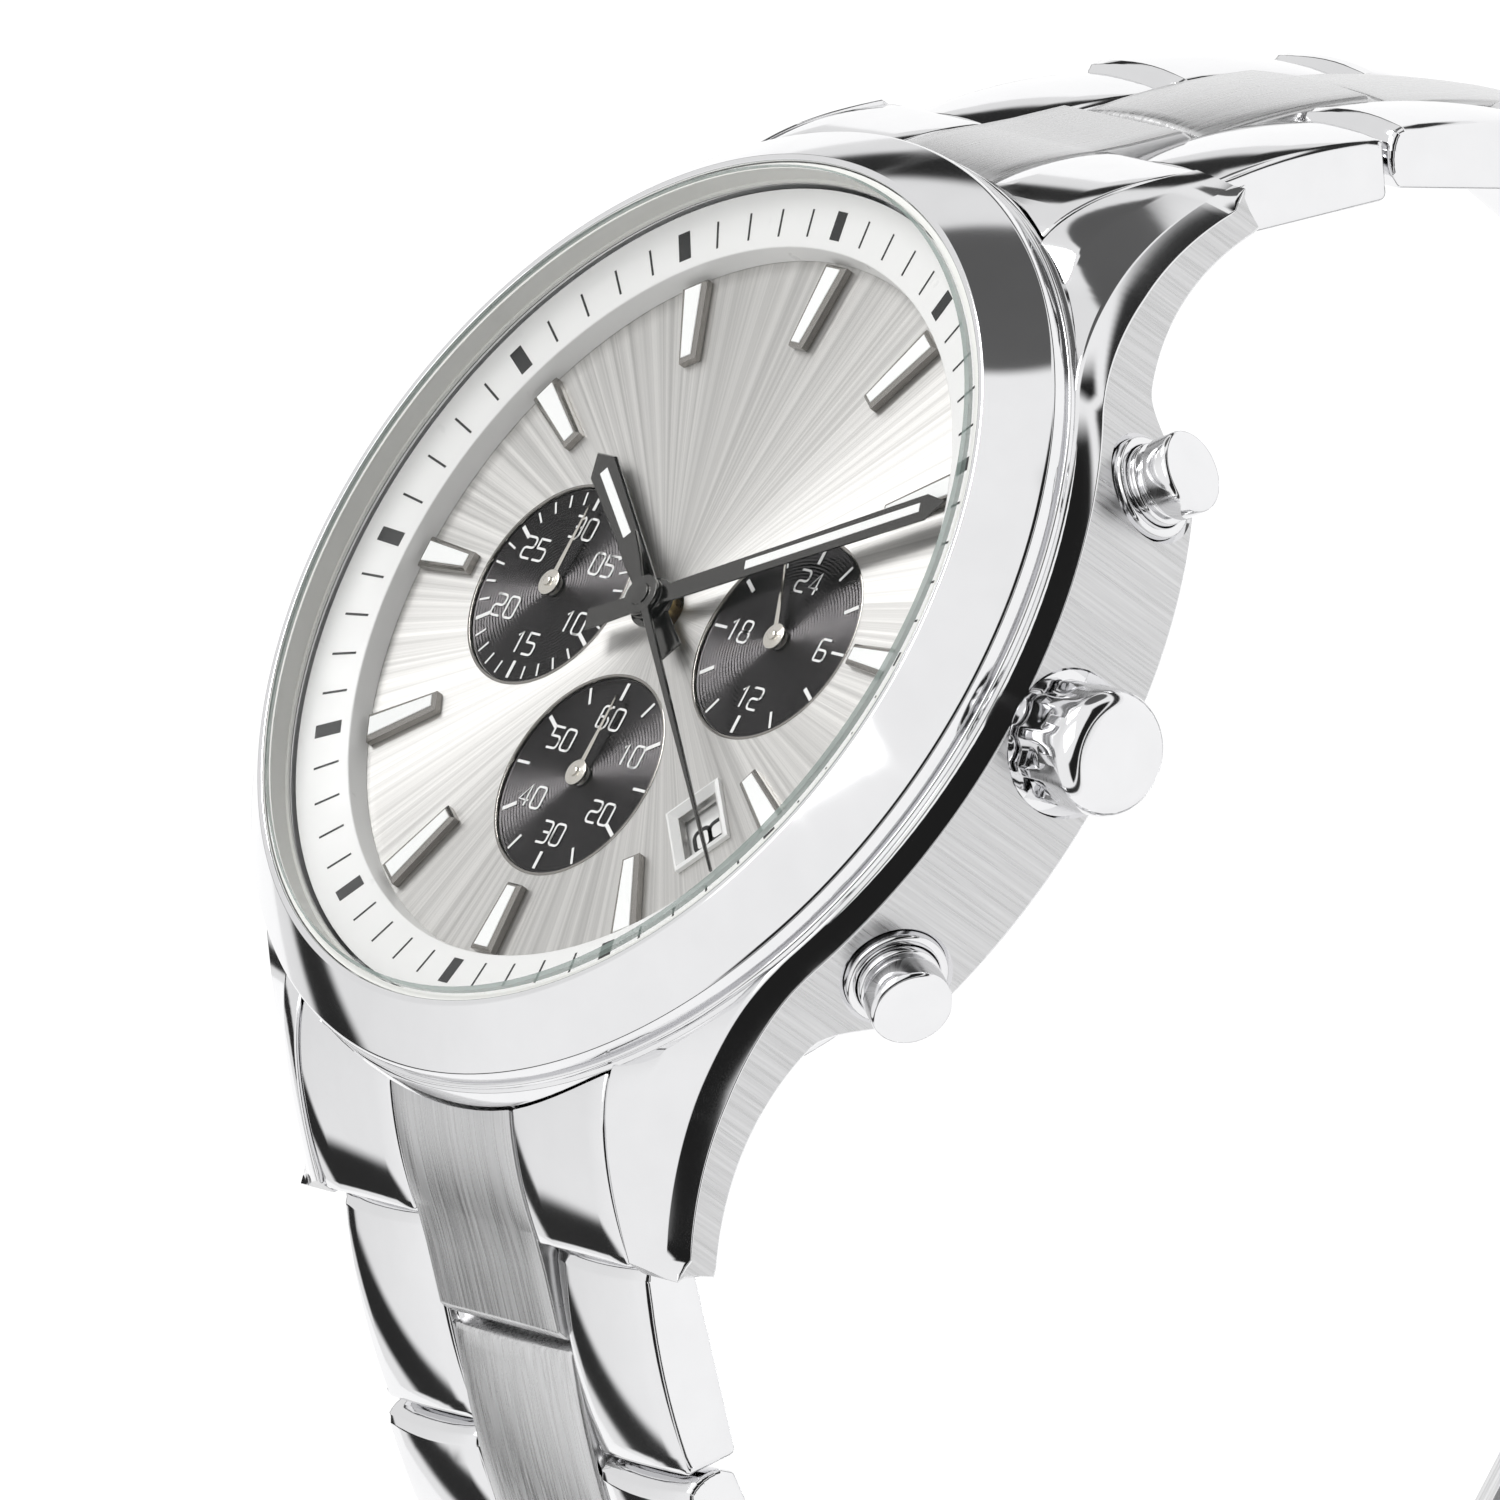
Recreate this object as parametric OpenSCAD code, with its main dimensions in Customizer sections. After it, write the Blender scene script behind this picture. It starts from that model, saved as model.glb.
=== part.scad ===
// Steel chronograph wristwatch on a three-row link bracelet.
// Origin: centre of the case back's outer face. +Z to the crystal, +Y to 12, +X to the crown.

/* [Case] */
// Radius of the round case body
case_r = 21.3; // [20.9:0.1:24]
// Height of the case body's top land
case_top_z = 7.6; // [7.6:0.1:8.2]
// Height of the case body's lower edge
case_low_z = 1.0; // [0.9:0.05:1.1]
// Radius of the bore that holds the movement
bore_r = 16.2; // [15.9:0.05:16.6]
// Distance from the centre to the lug tips, along Y
lug_y = 24.2; // [23.6:0.1:25]
// Half of the free width between the lugs
lug_gap = 10; // [9:0.25:10.25]
// Thickness of each lug at its tip
lug_tip = 2.2; // [1.9:0.1:2.8]
// Height of the lug tip's upper corner
lug_tip_z = 1.6; // [1.2:0.1:2]
// Height of the arch under each lug
arch_z = 3.9; // [3:0.1:4.2]

/* [Bezel and crystal] */
// Outer radius of the bezel
bezel_r = 20.7; // [20.2:0.05:20.8]
// Radius of the crystal
crystal_r = 18.1; // [17.4:0.1:18.4]
// Thickness of the crystal
crystal_t = 1.3; // [1:0.1:1.5]
// Height of the crystal's upper face
crystal_top_z = 10.9; // [10.9:0.1:12]
// Wall of the crystal gasket
gasket_t = 0.26; // [0.2:0.02:0.4]

/* [Dial] */
// Height of the dial's upper face
dial_z = 7.85; // [7.85:0.05:8]
// Thickness of the dial
dial_t = 0.4; // [0.3:0.05:0.4]
// Inner radius of the raised minute ring
track_r = 15.4; // [15.3:0.1:15.8]
// Height of the minute ring above the dial at its inner edge
track_h = 1.1; // [0.8:0.05:1.2]
// Outer end of the hour markers
marker_out = 15.2; // [13:0.1:15.2]
// Inner end of the hour markers
marker_in = 11.6; // [11.3:0.1:12.4]
// Width of a marker at its outer end
marker_w = 1.3; // [0.8:0.1:1.5]
// Height of the markers above the dial
marker_h = 0.42; // [0.2:0.02:0.45]
// Distance from the centre to each small dial
subdial_d = 7.25; // [6.8:0.05:7.4]
// Radius of the small dials
subdial_r = 4.35; // [3.8:0.05:4.4]
// Angle of the date window, clockwise from 12 o'clock
date_deg = 134; // [132:1:136]
// Distance from the centre to the middle of the date window
date_r = 11.7; // [11.4:0.1:11.9]

/* [Hands] */
// Length of the hour hand from its axis
hour_len = 9.4; // [7:0.1:10.4]
// Length of the minute hand from its axis
minute_len = 15.5; // [12:0.1:15.8]
// Length of the chronograph seconds hand from its axis
chrono_len = 15.8; // [12:0.1:16.5]
// Length of the small hands from their axes
small_len = 3.5; // [2:0.1:3.9]
// Thickness of every hand
hand_t = 0.15; // [0.1:0.01:0.18]

/* [Crown and pushers] */
// Height of the crown and pusher axes
stem_z = 3.6; // [3.4:0.05:3.9]
// Radius of the crown
crown_r = 2.5; // [2.1:0.05:2.6]
// Distance from the centre to the crown's outer face
crown_x = 24.6; // [24.2:0.1:26]
// Radius of the pusher caps
pusher_r = 1.66; // [1.4:0.02:1.7]
// Distance from the centre to the pusher caps' faces
pusher_x = 23.45; // [23.2:0.05:24]
// Angle of each pusher from the crown's axis
pusher_deg = 30.5; // [29:0.5:32]
// Travel of a pusher
pusher_travel = 0.7; // [0.4:0.05:0.75]

/* [Bracelet] */
// Distance between two link pivots
link_pitch = 9; // [8.6:0.1:10]
// Thickness of the links
link_t = 3; // [2.4:0.1:3.2]
// Half of the bracelet's width
link_half_w = 9.85; // [8.5:0.05:9.85]
// Half of the centre links' width
centre_half_w = 3.85; // [3:0.05:4.2]
// Radius of the link pins
pin_r = 0.6; // [0.4:0.05:0.7]
// Distance along Y from the centre to the first link pivot
first_y = 24.7; // [24.7:0.1:26]
// Height of the first link pivot
first_z = -0.7; // [-1.2:0.1:-0.5]
// Slope of the first link below the dial plane
first_deg = 50; // [48:1:54]
// Further slope of the second link
second_deg = 12; // [8:1:14]
// Further slope of each later link
next_deg = 15.5; // [14.5:0.5:16.5]

/* [Fits] */
// Clearance between two pieces that lie against each other
gap = 0.1; // [0.08:0.01:0.15]
// Radial clearance of a shaft or pin that turns in its bore
run = 0.03; // [0.02:0.01:0.05]
// Gap round a pin that is pressed in
seat = 0.01; // [0.01:0.005:0.02]

/* [Hidden] */
$fn = 72;
eps = 0.05;
LINKS = 7;

// Case and lugs
body_r = case_r - 0.4;
lower_r = bore_r + 2;
flank_y = 12.5;
flank_x = sqrt(case_r * case_r - flank_y * flank_y);
lug_tip_x = lug_gap + lug_tip;
lug_low_y = lug_y - 1;
lug_drop_y = 13;
arch_start_y = 11;
arch_top_y = 14.5;
lug_hole_y = lug_y - 2.3;
lug_hole_z = lug_tip_z + 0.9;
bar_r = 0.7;
bar_depth = 1.2;

// Heights inside the case
crystal_low_z = crystal_top_z - crystal_t;
gasket_low_z = crystal_low_z - 0.15;
recess_z = case_top_z - 0.5;
dial_r = track_r + 1.8;
subdial_drop = 0.15;
centre_hole_r = 1.0;
small_hole_r = 0.4;
back_t = case_low_z - 0.1;
plate_r = bore_r - 1.1;
plate_z = 5;
plate_t = 1.3;
board_z = 4.5;
board_t = 0.3;

// Hand stack, from the hour hand up
hour_z = dial_z + 0.62;
minute_z = hour_z + 0.34;
chrono_z = minute_z + 0.34;
small_z = dial_z + 0.12;
cap_t = 0.1;
hour_angle = 305.4;
minute_angle = 64.5;
chrono_angle = 130;
hour24_angle = 332.7;
chrono_arbor_r = 0.16;
cannon_r = 0.42;
hour_tube_r = 0.7;
small_arbor_r = 0.2;

// Motion work: the same module in both meshes, so both centre distances are equal
gear_m = 0.15;
cannon_teeth = 10;
minute_wheel_teeth = 30;
minute_pinion_teeth = 8;
hour_wheel_teeth = 32;
gear_d = gear_m * (cannon_teeth + minute_wheel_teeth) / 2;
gear_deg = 60;
gear_t = 0.22;
motion_z = plate_z + plate_t + 0.1;
date_z = dial_z - dial_t - 0.35;

// Crown and pushers
tube_r = 1.3;
tube_bore = 0.66;
stem_r = tube_bore - run - eps;
crown_low_x = case_r - 0.6;
crown_travel = 1.2;
collar_r = pusher_r + 0.4;
collar_top = case_r + 0.2;
pusher_low = collar_top - 0.5;
pusher_stem_r = 0.5;

// Bracelet: slopes and places of the link pivots, from the lugs to the clasp
round_r = link_pitch / 4 - gap;
face_t = link_pitch / 4 + gap;
slope = [for (i = [0:LINKS - 1]) first_deg + (i > 0 ? second_deg : 0) + max(0, i - 1) * next_deg];
function pivot(i) = i == 0 ? [first_y, first_z]
    : pivot(i - 1) + link_pitch * [cos(slope[i - 1]), -sin(slope[i - 1])];
clasp_y = pivot(LINKS)[0];
clasp_z = pivot(LINKS)[1];
blade_t = 0.8;
blade_w = 4;
knuckle_r = 0.75;
blade_gap = 1.9;
hinge_y = clasp_y - 4.4;
hinge_a_z = clasp_z + 0.1;
hinge_b_z = clasp_z - 0.75;
cover_w = 9.2;
cover_t = 0.9;
cover_z = clasp_z - 2.4;
cover_wall_h = 2.4;
cover_end = clasp_y - 2.8;

// Draws a Y-Z outline as a plate of width w, centred on X = x
module plate_x(x, w) {
    translate([x - w / 2, 0, 0])
        rotate([90, 0, 90])
            linear_extrude(w)
                children();
}

// A cylinder along X from x1 to x2, at height z and distance y
module rod_x(x1, x2, r, y, z) {
    translate([x1, y, z])
        rotate([0, 90, 0])
            cylinder(h = x2 - x1, r = r);
}

// A ring round Z
module ring(r1, r2, z1, z2) {
    difference() {
        translate([0, 0, z1]) cylinder(h = z2 - z1, r = r2);
        translate([0, 0, z1 - 1]) cylinder(h = z2 - z1 + 2, r = r1);
    }
}

// Turns its children to a clock angle, clockwise from 12
module at_clock(deg) {
    rotate([0, 0, -deg]) children();
}

// ---- Case ----

function lug_x(y) = lug_tip_x
    + (flank_x - lug_tip_x) * pow((lug_y - y) / (lug_y - flank_y), 1.3);
function top_z(y) = y <= lug_drop_y ? case_top_z
    : case_top_z - (case_top_z - lug_tip_z) * pow((y - lug_drop_y) / (lug_y - lug_drop_y), 1.7);
function arch_rise(u) = u * u * (3 - 2 * u);
function low_z(y) = y <= arch_start_y ? case_low_z
    : y <= arch_top_y
        ? case_low_z + (arch_z - case_low_z) * arch_rise((y - arch_start_y) / (arch_top_y - arch_start_y))
        : arch_z * (1 - pow((y - arch_top_y) / (lug_low_y - arch_top_y), 1.9));

module lug_plan() {
    ys = [for (i = [0:8]) flank_y + (lug_y - flank_y) * i / 8];
    polygon(concat([[lug_gap, 8], [flank_x - 1, 8]], [for (y = ys) [lug_x(y), y]], [[lug_gap, lug_y]]));
}

module lug_side() {
    top = [for (i = [0:12]) let (y = 8 + (lug_y - 8) * i / 12) [y, top_z(y)]];
    low = [for (i = [12:-1:0]) let (y = 8 + (lug_low_y - 8) * i / 12) [y, low_z(y)]];
    polygon(concat(top, low));
}

module lug() {
    intersection() {
        linear_extrude(case_top_z) lug_plan();
        plate_x(lug_gap + 4, 16) lug_side();
    }
}

module case_body() {
    rotate_extrude()
        polygon([
            [bore_r, case_low_z], [lower_r, case_low_z], [lower_r, case_low_z + 1],
            [body_r, arch_z], [body_r, case_top_z], [bore_r, case_top_z]
        ]);
    intersection() {
        ring(bore_r, case_r, case_low_z, case_top_z);
        translate([-case_r, -arch_start_y, 0]) cube([2 * case_r, 2 * arch_start_y, case_top_z]);
    }
    intersection() {
        ring(bore_r, case_r, arch_z, case_top_z);
        translate([-case_r, -lug_drop_y, 0]) cube([2 * case_r, 2 * lug_drop_y, case_top_z]);
    }
}

module side_hole(deg, r, x1) {
    rotate([0, 0, deg]) rod_x(x1, case_r + 3, r, 0, stem_z);
}

module case_middle() {
    color("silver")
    difference() {
        union() {
            case_body();
            for (m = [0, 1], n = [0, 1]) mirror([m, 0, 0]) mirror([0, n, 0]) lug();
        }
        translate([0, 0, -1]) cylinder(h = 20, r = bore_r);
        translate([0, 0, recess_z]) cylinder(h = 5, r = crystal_r - 0.15);
        side_hole(0, tube_r + seat, 0);
        side_hole(0, crown_r + 0.3, crown_low_x - 0.2);
        for (s = [-1, 1]) side_hole(s * pusher_deg, pusher_tube_r() + seat, 0);
        for (s = [-1, 1]) side_hole(s * pusher_deg, collar_r + seat, collar_top - 1.9);
        for (s = [-1, 1]) {
            rod_x(-lug_gap - bar_depth, lug_gap + bar_depth, bar_r + run, s * lug_hole_y, lug_hole_z);
        }
    }
}

function pusher_tube_r() = pusher_stem_r + 0.4;

module bezel() {
    color("gainsboro")
    rotate_extrude()
        polygon([
            [crystal_r - 0.13, case_top_z + 0.02], [bezel_r + 0.1, case_top_z + 0.02],
            [bezel_r + 0.1, case_top_z + 0.3], [bezel_r - 0.35, case_top_z + 0.34],
            [bezel_r - 0.35, case_top_z + 0.48], [bezel_r, case_top_z + 0.52],
            [bezel_r, case_top_z + 0.95], [bezel_r - 1.1, crystal_top_z - 1.05],
            [crystal_r + gasket_t + 0.3, crystal_top_z - 0.25],
            [crystal_r + gasket_t + 0.04, crystal_top_z - 0.25],
            [crystal_r + gasket_t + 0.04, gasket_low_z - 0.02],
            [crystal_r - 0.13, gasket_low_z - 0.02]
        ]);
}

module crystal() {
    color([0.8, 0.95, 0.9, 0.4])
    rotate_extrude()
        polygon([
            [0, crystal_low_z], [crystal_r, crystal_low_z],
            [crystal_r, crystal_top_z - 0.15], [crystal_r - 0.15, crystal_top_z],
            [0, crystal_top_z]
        ]);
}

module crystal_gasket() {
    color("ivory")
    rotate_extrude()
        polygon([
            [crystal_r - 0.1, gasket_low_z], [crystal_r + gasket_t, gasket_low_z],
            [crystal_r + gasket_t, crystal_top_z - 0.45], [crystal_r + 0.02, crystal_top_z - 0.45],
            [crystal_r + 0.02, crystal_low_z - 0.02], [crystal_r - 0.1, crystal_low_z - 0.02]
        ]);
}

module case_back() {
    color("silver")
    difference() {
        rotate_extrude()
            polygon([
                [0, 0], [lower_r - 0.7, 0], [lower_r - 0.3, 0.4], [lower_r - 0.3, back_t],
                [bore_r - 0.05, back_t], [bore_r - 0.05, back_t + 1.2],
                [bore_r - 1, back_t + 1.2], [bore_r - 1, back_t + 0.3], [0, back_t + 0.3]
            ]);
        ring(bore_r + 0.3, bore_r + 1, back_t - 0.4, back_t + 1);
        for (i = [0:5]) {
            rotate([0, 0, 60 * i]) translate([bore_r - 0.3, -0.9, -1]) cube([0.9, 1.8, 1.35]);
        }
    }
}

module case_back_gasket() {
    color("black") ring(bore_r + 0.35, bore_r + 0.95, back_t - 0.38, case_low_z - 0.02);
}

module crown_tube() {
    color("silver")
    difference() {
        rod_x(bore_r + 0.6, case_r + 0.9, tube_r, 0, stem_z);
        rod_x(bore_r, case_r + 2, tube_bore, 0, stem_z);
    }
}

module pusher_tubes() {
    color("silver")
    for (s = [-1, 1]) rotate([0, 0, s * pusher_deg])
        difference() {
            union() {
                rod_x(bore_r + 0.6, collar_top - 1.5, pusher_tube_r(), 0, stem_z);
                rod_x(collar_top - 1.9 + 0.01, collar_top, collar_r, 0, stem_z);
            }
            rod_x(bore_r, case_r + 2, pusher_stem_r + run, 0, stem_z);
            rod_x(pusher_low - pusher_travel - 0.05, case_r + 2, pusher_r + run, 0, stem_z);
        }
}

// ---- Dial side ----

module minute_track_ring() {
    color("white")
    rotate_extrude()
        polygon([
            [track_r, dial_z + 0.02], [crystal_r - 0.25, dial_z + 0.02],
            [crystal_r - 0.25, dial_z + track_h + 0.35], [track_r + 0.1, dial_z + track_h]
        ]);
}

module date_window(w, l) {
    at_clock(date_deg) translate([-w / 2, date_r - l / 2, -1]) cube([w, l, 20]);
}

// Hour numbers of the small dials' places: 9, 6 and 3 o'clock
SMALL = [270, 180, 90];

module dial() {
    color("lightgray")
    difference() {
        translate([0, 0, dial_z - dial_t]) cylinder(h = dial_t, r = dial_r);
        cylinder(h = 20, r = centre_hole_r);
        for (a = SMALL) at_clock(a) translate([0, subdial_d, 0]) {
            cylinder(h = 20, r = small_hole_r);
            translate([0, 0, dial_z - subdial_drop]) cylinder(h = 2, r = subdial_r);
        }
        date_window(1.9, 2.3);
    }
}

module subdial_plates() {
    color("dimgray")
    for (a = SMALL) at_clock(a) translate([0, subdial_d, 0])
        difference() {
            translate([0, 0, dial_z - subdial_drop + 0.01]) cylinder(h = 0.1, r = subdial_r - 0.05);
            cylinder(h = 20, r = small_hole_r);
        }
}

module marker(deg, r1) {
    at_clock(deg) translate([0, 0, dial_z + 0.01])
        linear_extrude(marker_h)
            polygon([
                [-marker_w * 0.32, r1], [marker_w * 0.32, r1],
                [marker_w / 2, marker_out], [-marker_w / 2, marker_out]
            ]);
}

module hour_markers() {
    near_small = subdial_d + subdial_r + 0.15;
    color("silver")
    for (h = [0:11]) marker(30 * h, h % 3 == 0 && h > 0 ? max(marker_in, near_small) : marker_in);
}

module date_frame() {
    color("white")
    translate([0, 0, dial_z + 0.01])
    intersection() {
        difference() {
            at_clock(date_deg) translate([-1.35, date_r - 1.55, 0]) cube([2.7, 3.1, 0.25]);
            date_window(1.9, 2.3);
        }
        cylinder(h = 1, r = track_r - gap);
    }
}

module date_disc() {
    color("white") ring(date_r - 1.8, date_r + 1.8, date_z, date_z + 0.15);
}

// ---- Hands ----

// A tapering baton with a point: width w1 near the axis, w2 at the shoulder
module baton(len, tail, w1, w2, tip) {
    polygon([
        [-w1 / 2, -tail], [w1 / 2, -tail], [w2 / 2, len - tip],
        [0, len], [-w2 / 2, len - tip]
    ]);
}

module hour_hand() {
    color("dimgray")
    translate([0, 0, hour_z]) at_clock(hour_angle)
        linear_extrude(hand_t) difference() {
            union() {
                baton(hour_len, 3, 1, 1.5, 1.2);
                circle(r = hour_tube_r + 0.5);
            }
            circle(r = hour_tube_r + seat);
        }
}

module hour_wheel() {
    color("goldenrod")
    difference() {
        union() {
            translate([0, 0, motion_z + 0.4]) linear_extrude(gear_t) gear(hour_wheel_teeth, 0);
            translate([0, 0, motion_z + 0.4]) cylinder(h = hour_z + hand_t - motion_z - 0.4, r = hour_tube_r);
        }
        cylinder(h = 20, r = cannon_r + run);
    }
}

module minute_hand() {
    color("dimgray")
    translate([0, 0, minute_z]) at_clock(minute_angle)
        linear_extrude(hand_t) difference() {
            union() {
                baton(minute_len, 3.2, 0.8, 1.3, 1.3);
                circle(r = cannon_r + 0.5);
            }
            circle(r = cannon_r + seat);
        }
}

module cannon_pinion() {
    color("goldenrod")
    difference() {
        union() {
            translate([0, 0, motion_z]) linear_extrude(gear_t) gear(cannon_teeth, 180 / cannon_teeth);
            translate([0, 0, motion_z]) cylinder(h = minute_z + hand_t - motion_z, r = cannon_r);
        }
        cylinder(h = 20, r = chrono_arbor_r + run);
    }
}

// A spur gear outline, with a tooth centred on the angle turn
module gear(teeth, turn) {
    pitch_r = gear_m * teeth / 2;
    step = 360 / teeth;
    pts = [
        [-0.36, -1.15], [-0.22, 0], [-0.1, 0.85],
        [0.1, 0.85], [0.22, 0], [0.36, -1.15]
    ];
    polygon([for (i = [0:teeth - 1], p = pts)
        let (a = turn + step * (i + p[0]), r = pitch_r + gear_m * p[1]) [r * cos(a), r * sin(a)]]);
}

module minute_wheel() {
    color("goldenrod")
    rotate([0, 0, gear_deg]) translate([gear_d, 0, 0]) {
        translate([0, 0, motion_z]) linear_extrude(gear_t)
            gear(minute_wheel_teeth, wheel_turn(cannon_teeth, minute_wheel_teeth, 180 / cannon_teeth));
        translate([0, 0, motion_z + gear_t]) cylinder(h = 0.2, r = 0.35);
        translate([0, 0, motion_z + 0.4]) linear_extrude(gear_t)
            gear(minute_pinion_teeth, wheel_turn(hour_wheel_teeth, minute_pinion_teeth, 0));
        translate([0, 0, plate_z + 0.6]) cylinder(h = motion_z - plate_z - 0.5, r = 0.25);
    }
}

// Turn of a gear at the angle gear_deg that meshes with n1 teeth on the centre, turned by t1
function wheel_turn(n1, n2, t1) = 180 + 180 / n2 - (t1 - gear_deg) * n1 / n2 - 360;

module small_hand(a, turn) {
    at_clock(a) translate([0, subdial_d, 0]) rotate([0, 0, a - turn]) {
        translate([0, 0, small_z]) linear_extrude(hand_t) baton(small_len, 1, 0.5, 0.16, 0.3);
        translate([0, 0, plate_z - 0.5]) cylinder(h = small_z + hand_t + 0.6 - plate_z, r = small_arbor_r);
        translate([0, 0, small_z]) cylinder(h = hand_t + cap_t, r = 0.5);
    }
}

module small_seconds_hand() {
    color("silver") small_hand(180, 0);
}

module minute_counter_hand() {
    color("silver") small_hand(270, 0);
}

module hour24_hand() {
    color("silver") small_hand(90, hour24_angle);
}

module chrono_seconds_hand() {
    color("dimgray") {
        translate([0, 0, chrono_z]) at_clock(chrono_angle)
            linear_extrude(hand_t) union() {
                baton(chrono_len, 3.4, 0.6, 0.2, 0.6);
                circle(r = 0.85);
            }
        translate([0, 0, plate_z - 0.7]) cylinder(h = chrono_z - plate_z + 0.8, r = chrono_arbor_r);
        translate([0, 0, chrono_z]) cylinder(h = hand_t + cap_t, r = 0.5);
    }
}

// ---- Movement ----

module stem_space() {
    translate([plate_r - 7, -1.6, 0]) cube([10, 3.2, board_z + 1]);
}

module movement_ring() {
    color("white")
    difference() {
        ring(plate_r + 0.1, bore_r - 0.1, back_t + 1.4, dial_z - dial_t - 0.02);
        side_hole(0, tube_bore + 0.2, 0);
        for (s = [-1, 1]) side_hole(s * pusher_deg, pusher_stem_r + 0.2, 0);
    }
}

module main_plate() {
    color("darkgoldenrod")
    difference() {
        translate([0, 0, plate_z]) cylinder(h = plate_t, r = plate_r);
        translate([0, 0, 1]) cylinder(h = 10, r = chrono_arbor_r + run);
        for (a = SMALL) at_clock(a) translate([0, subdial_d, 0]) cylinder(h = 10, r = small_arbor_r + run);
        rotate([0, 0, gear_deg]) translate([gear_d, 0, plate_z + 0.5]) cylinder(h = 3, r = 0.25 + run);
    }
}

module train_bridge() {
    color("silver") translate([0, 0, 3.1]) linear_extrude(0.8) intersection() {
        circle(r = plate_r - 1);
        translate([-5, 4]) square([14, 12]);
    }
}

module battery() {
    color("silver") translate([-5.6, -6, back_t + 1]) cylinder(h = 2.1, r = 4.75);
}

module circuit_board() {
    color("seagreen")
    difference() {
        translate([0, 0, board_z]) cylinder(h = board_t, r = plate_r - 0.4);
        translate([0, 0, 1]) cylinder(h = 10, r = 1.2);
        for (a = SMALL) at_clock(a) translate([0, subdial_d, 0]) cylinder(h = 10, r = 0.6);
    }
}

module drive_coils() {
    color("peru")
    for (p = [[2, -8, 15], [8, -8, 40], [-11, 3, 80], [-8, 8, 120]])
        translate([p[0], p[1], 3.4]) rotate([0, 90, p[2]]) cylinder(h = 4.5, r = 0.8, center = true);
}

module movement_screws() {
    color("silver")
    for (a = [35, 75, 125, 205, 250, 320])
        rotate([0, 0, a]) translate([plate_r - 1.2, 0, board_z - 0.5]) cylinder(h = 0.48, r = 0.5);
}

module stem() {
    color("silver") rod_x(plate_r - 6, crown_x - 1.2, stem_r, 0, stem_z);
}

module crown() {
    color("gainsboro")
    difference() {
        translate([0, 0, stem_z]) rotate([0, 90, 0]) rotate_extrude()
            polygon([
                [0, crown_low_x], [crown_r - 0.3, crown_low_x], [crown_r, crown_low_x + 0.3],
                [crown_r, crown_x - 0.8], [crown_r - 0.35, crown_x - 0.3], [0, crown_x]
            ]);
        rod_x(crown_low_x - 1, crown_x - 1.6, tube_r + 0.42, 0, stem_z);
        rod_x(crown_low_x, crown_x - 1.15, stem_r + seat, 0, stem_z);
        for (i = [0:11]) translate([0, 0, stem_z]) rotate([30 * i, 0, 0])
            rod_x(crown_low_x - 1, crown_x - 1.3, 0.42, crown_r + 0.15, 0);
    }
}

module crown_seal() {
    color("black")
    difference() {
        rod_x(crown_low_x + 0.2, crown_low_x + 0.8, tube_r + 0.38, 0, stem_z);
        rod_x(crown_low_x, crown_low_x + 2, tube_r + run, 0, stem_z);
    }
}

module pusher() {
    rod_x(pusher_low, collar_top + 0.3, pusher_r, 0, stem_z);
    rod_x(collar_top + 0.2, collar_top + 0.7, pusher_r - 0.3, 0, stem_z);
    rod_x(collar_top + 0.6, pusher_x, pusher_r, 0, stem_z);
    rod_x(bore_r - 0.6, pusher_low + 0.2, pusher_stem_r, 0, stem_z);
}

module pusher_2() {
    color("gainsboro") rotate([0, 0, pusher_deg]) pusher();
}

module pusher_4() {
    color("gainsboro") rotate([0, 0, -pusher_deg]) pusher();
}

// ---- Bracelet ----

// A link's outline with a round end of radius round_r about t = 0, then straight to t = len
module round_end(len) {
    intersection() {
        union() {
            circle(r = round_r);
            translate([0, -link_t / 2]) square([len, link_t]);
        }
        translate([-link_pitch, -link_t / 2]) square([3 * link_pitch, link_t]);
    }
}

module side_outline(r1) {
    difference() {
        round_end(link_pitch - face_t);
        circle(r = r1);
        translate([link_pitch / 2, 0]) circle(r = pin_r + seat);
    }
}

module centre_outline() {
    difference() {
        translate([link_pitch, 0]) mirror([1, 0]) round_end(link_pitch - face_t);
        translate([link_pitch, 0]) circle(r = pin_r + run);
        translate([link_pitch / 2, 0]) circle(r = pin_r + seat);
    }
}

// Puts a Y-Z outline at pivot i, along that link's slope
module at_pivot(i) {
    translate([0, pivot(i)[0], pivot(i)[1]]) rotate([-slope[i], 0, 0]) children();
}

module link(i) {
    side_w = link_half_w - centre_half_w - gap;
    color("silver") at_pivot(i) {
        for (s = [-1, 1]) plate_x(s * (link_half_w - side_w / 2), side_w) side_outline(pin_r + seat);
        plate_x(0, 2 * centre_half_w) centre_outline();
        rod_x(-link_half_w + 0.1, link_half_w - 0.1, pin_r, 0, 0);
        rod_x(-link_half_w + 0.8, link_half_w - 0.8, pin_r, link_pitch / 2, 0);
    }
}

module end_link() {
    n = [sin(first_deg), cos(first_deg)] * link_t / 2;
    back = [cos(first_deg), -sin(first_deg)];
    face = [first_y, first_z] - back * face_t;
    outer = [for (i = [0:6]) let (y = body_r - 1 + i / 6 * (face[0] + n[0] - body_r + 1)) [y,
        face[1] + n[1] + (case_top_z - 0.4 - face[1] - n[1]) * (1 - pow(i / 6, 2.4))]];
    shoulder = concat([[body_r - 1, lug_hole_z - 1.2]], outer, [face - n]);
    color("silver")
    difference() {
        union() {
            plate_x(0, 2 * (lug_gap - gap)) polygon(shoulder);
            translate([0, first_y, first_z]) rotate([-first_deg, 0, 0]) plate_x(0, 2 * centre_half_w)
                mirror([1, 0]) round_end(face_t + 0.3);
        }
        translate([0, 0, -5]) cylinder(h = 20, r = body_r + 0.05);
        rod_x(-20, 20, bar_r + run, lug_hole_y, lug_hole_z);
        rod_x(-20, 20, pin_r + run, first_y, first_z);
    }
}

module end_link_12() {
    end_link();
}

module end_link_6() {
    mirror([0, 1, 0]) end_link();
}

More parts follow.
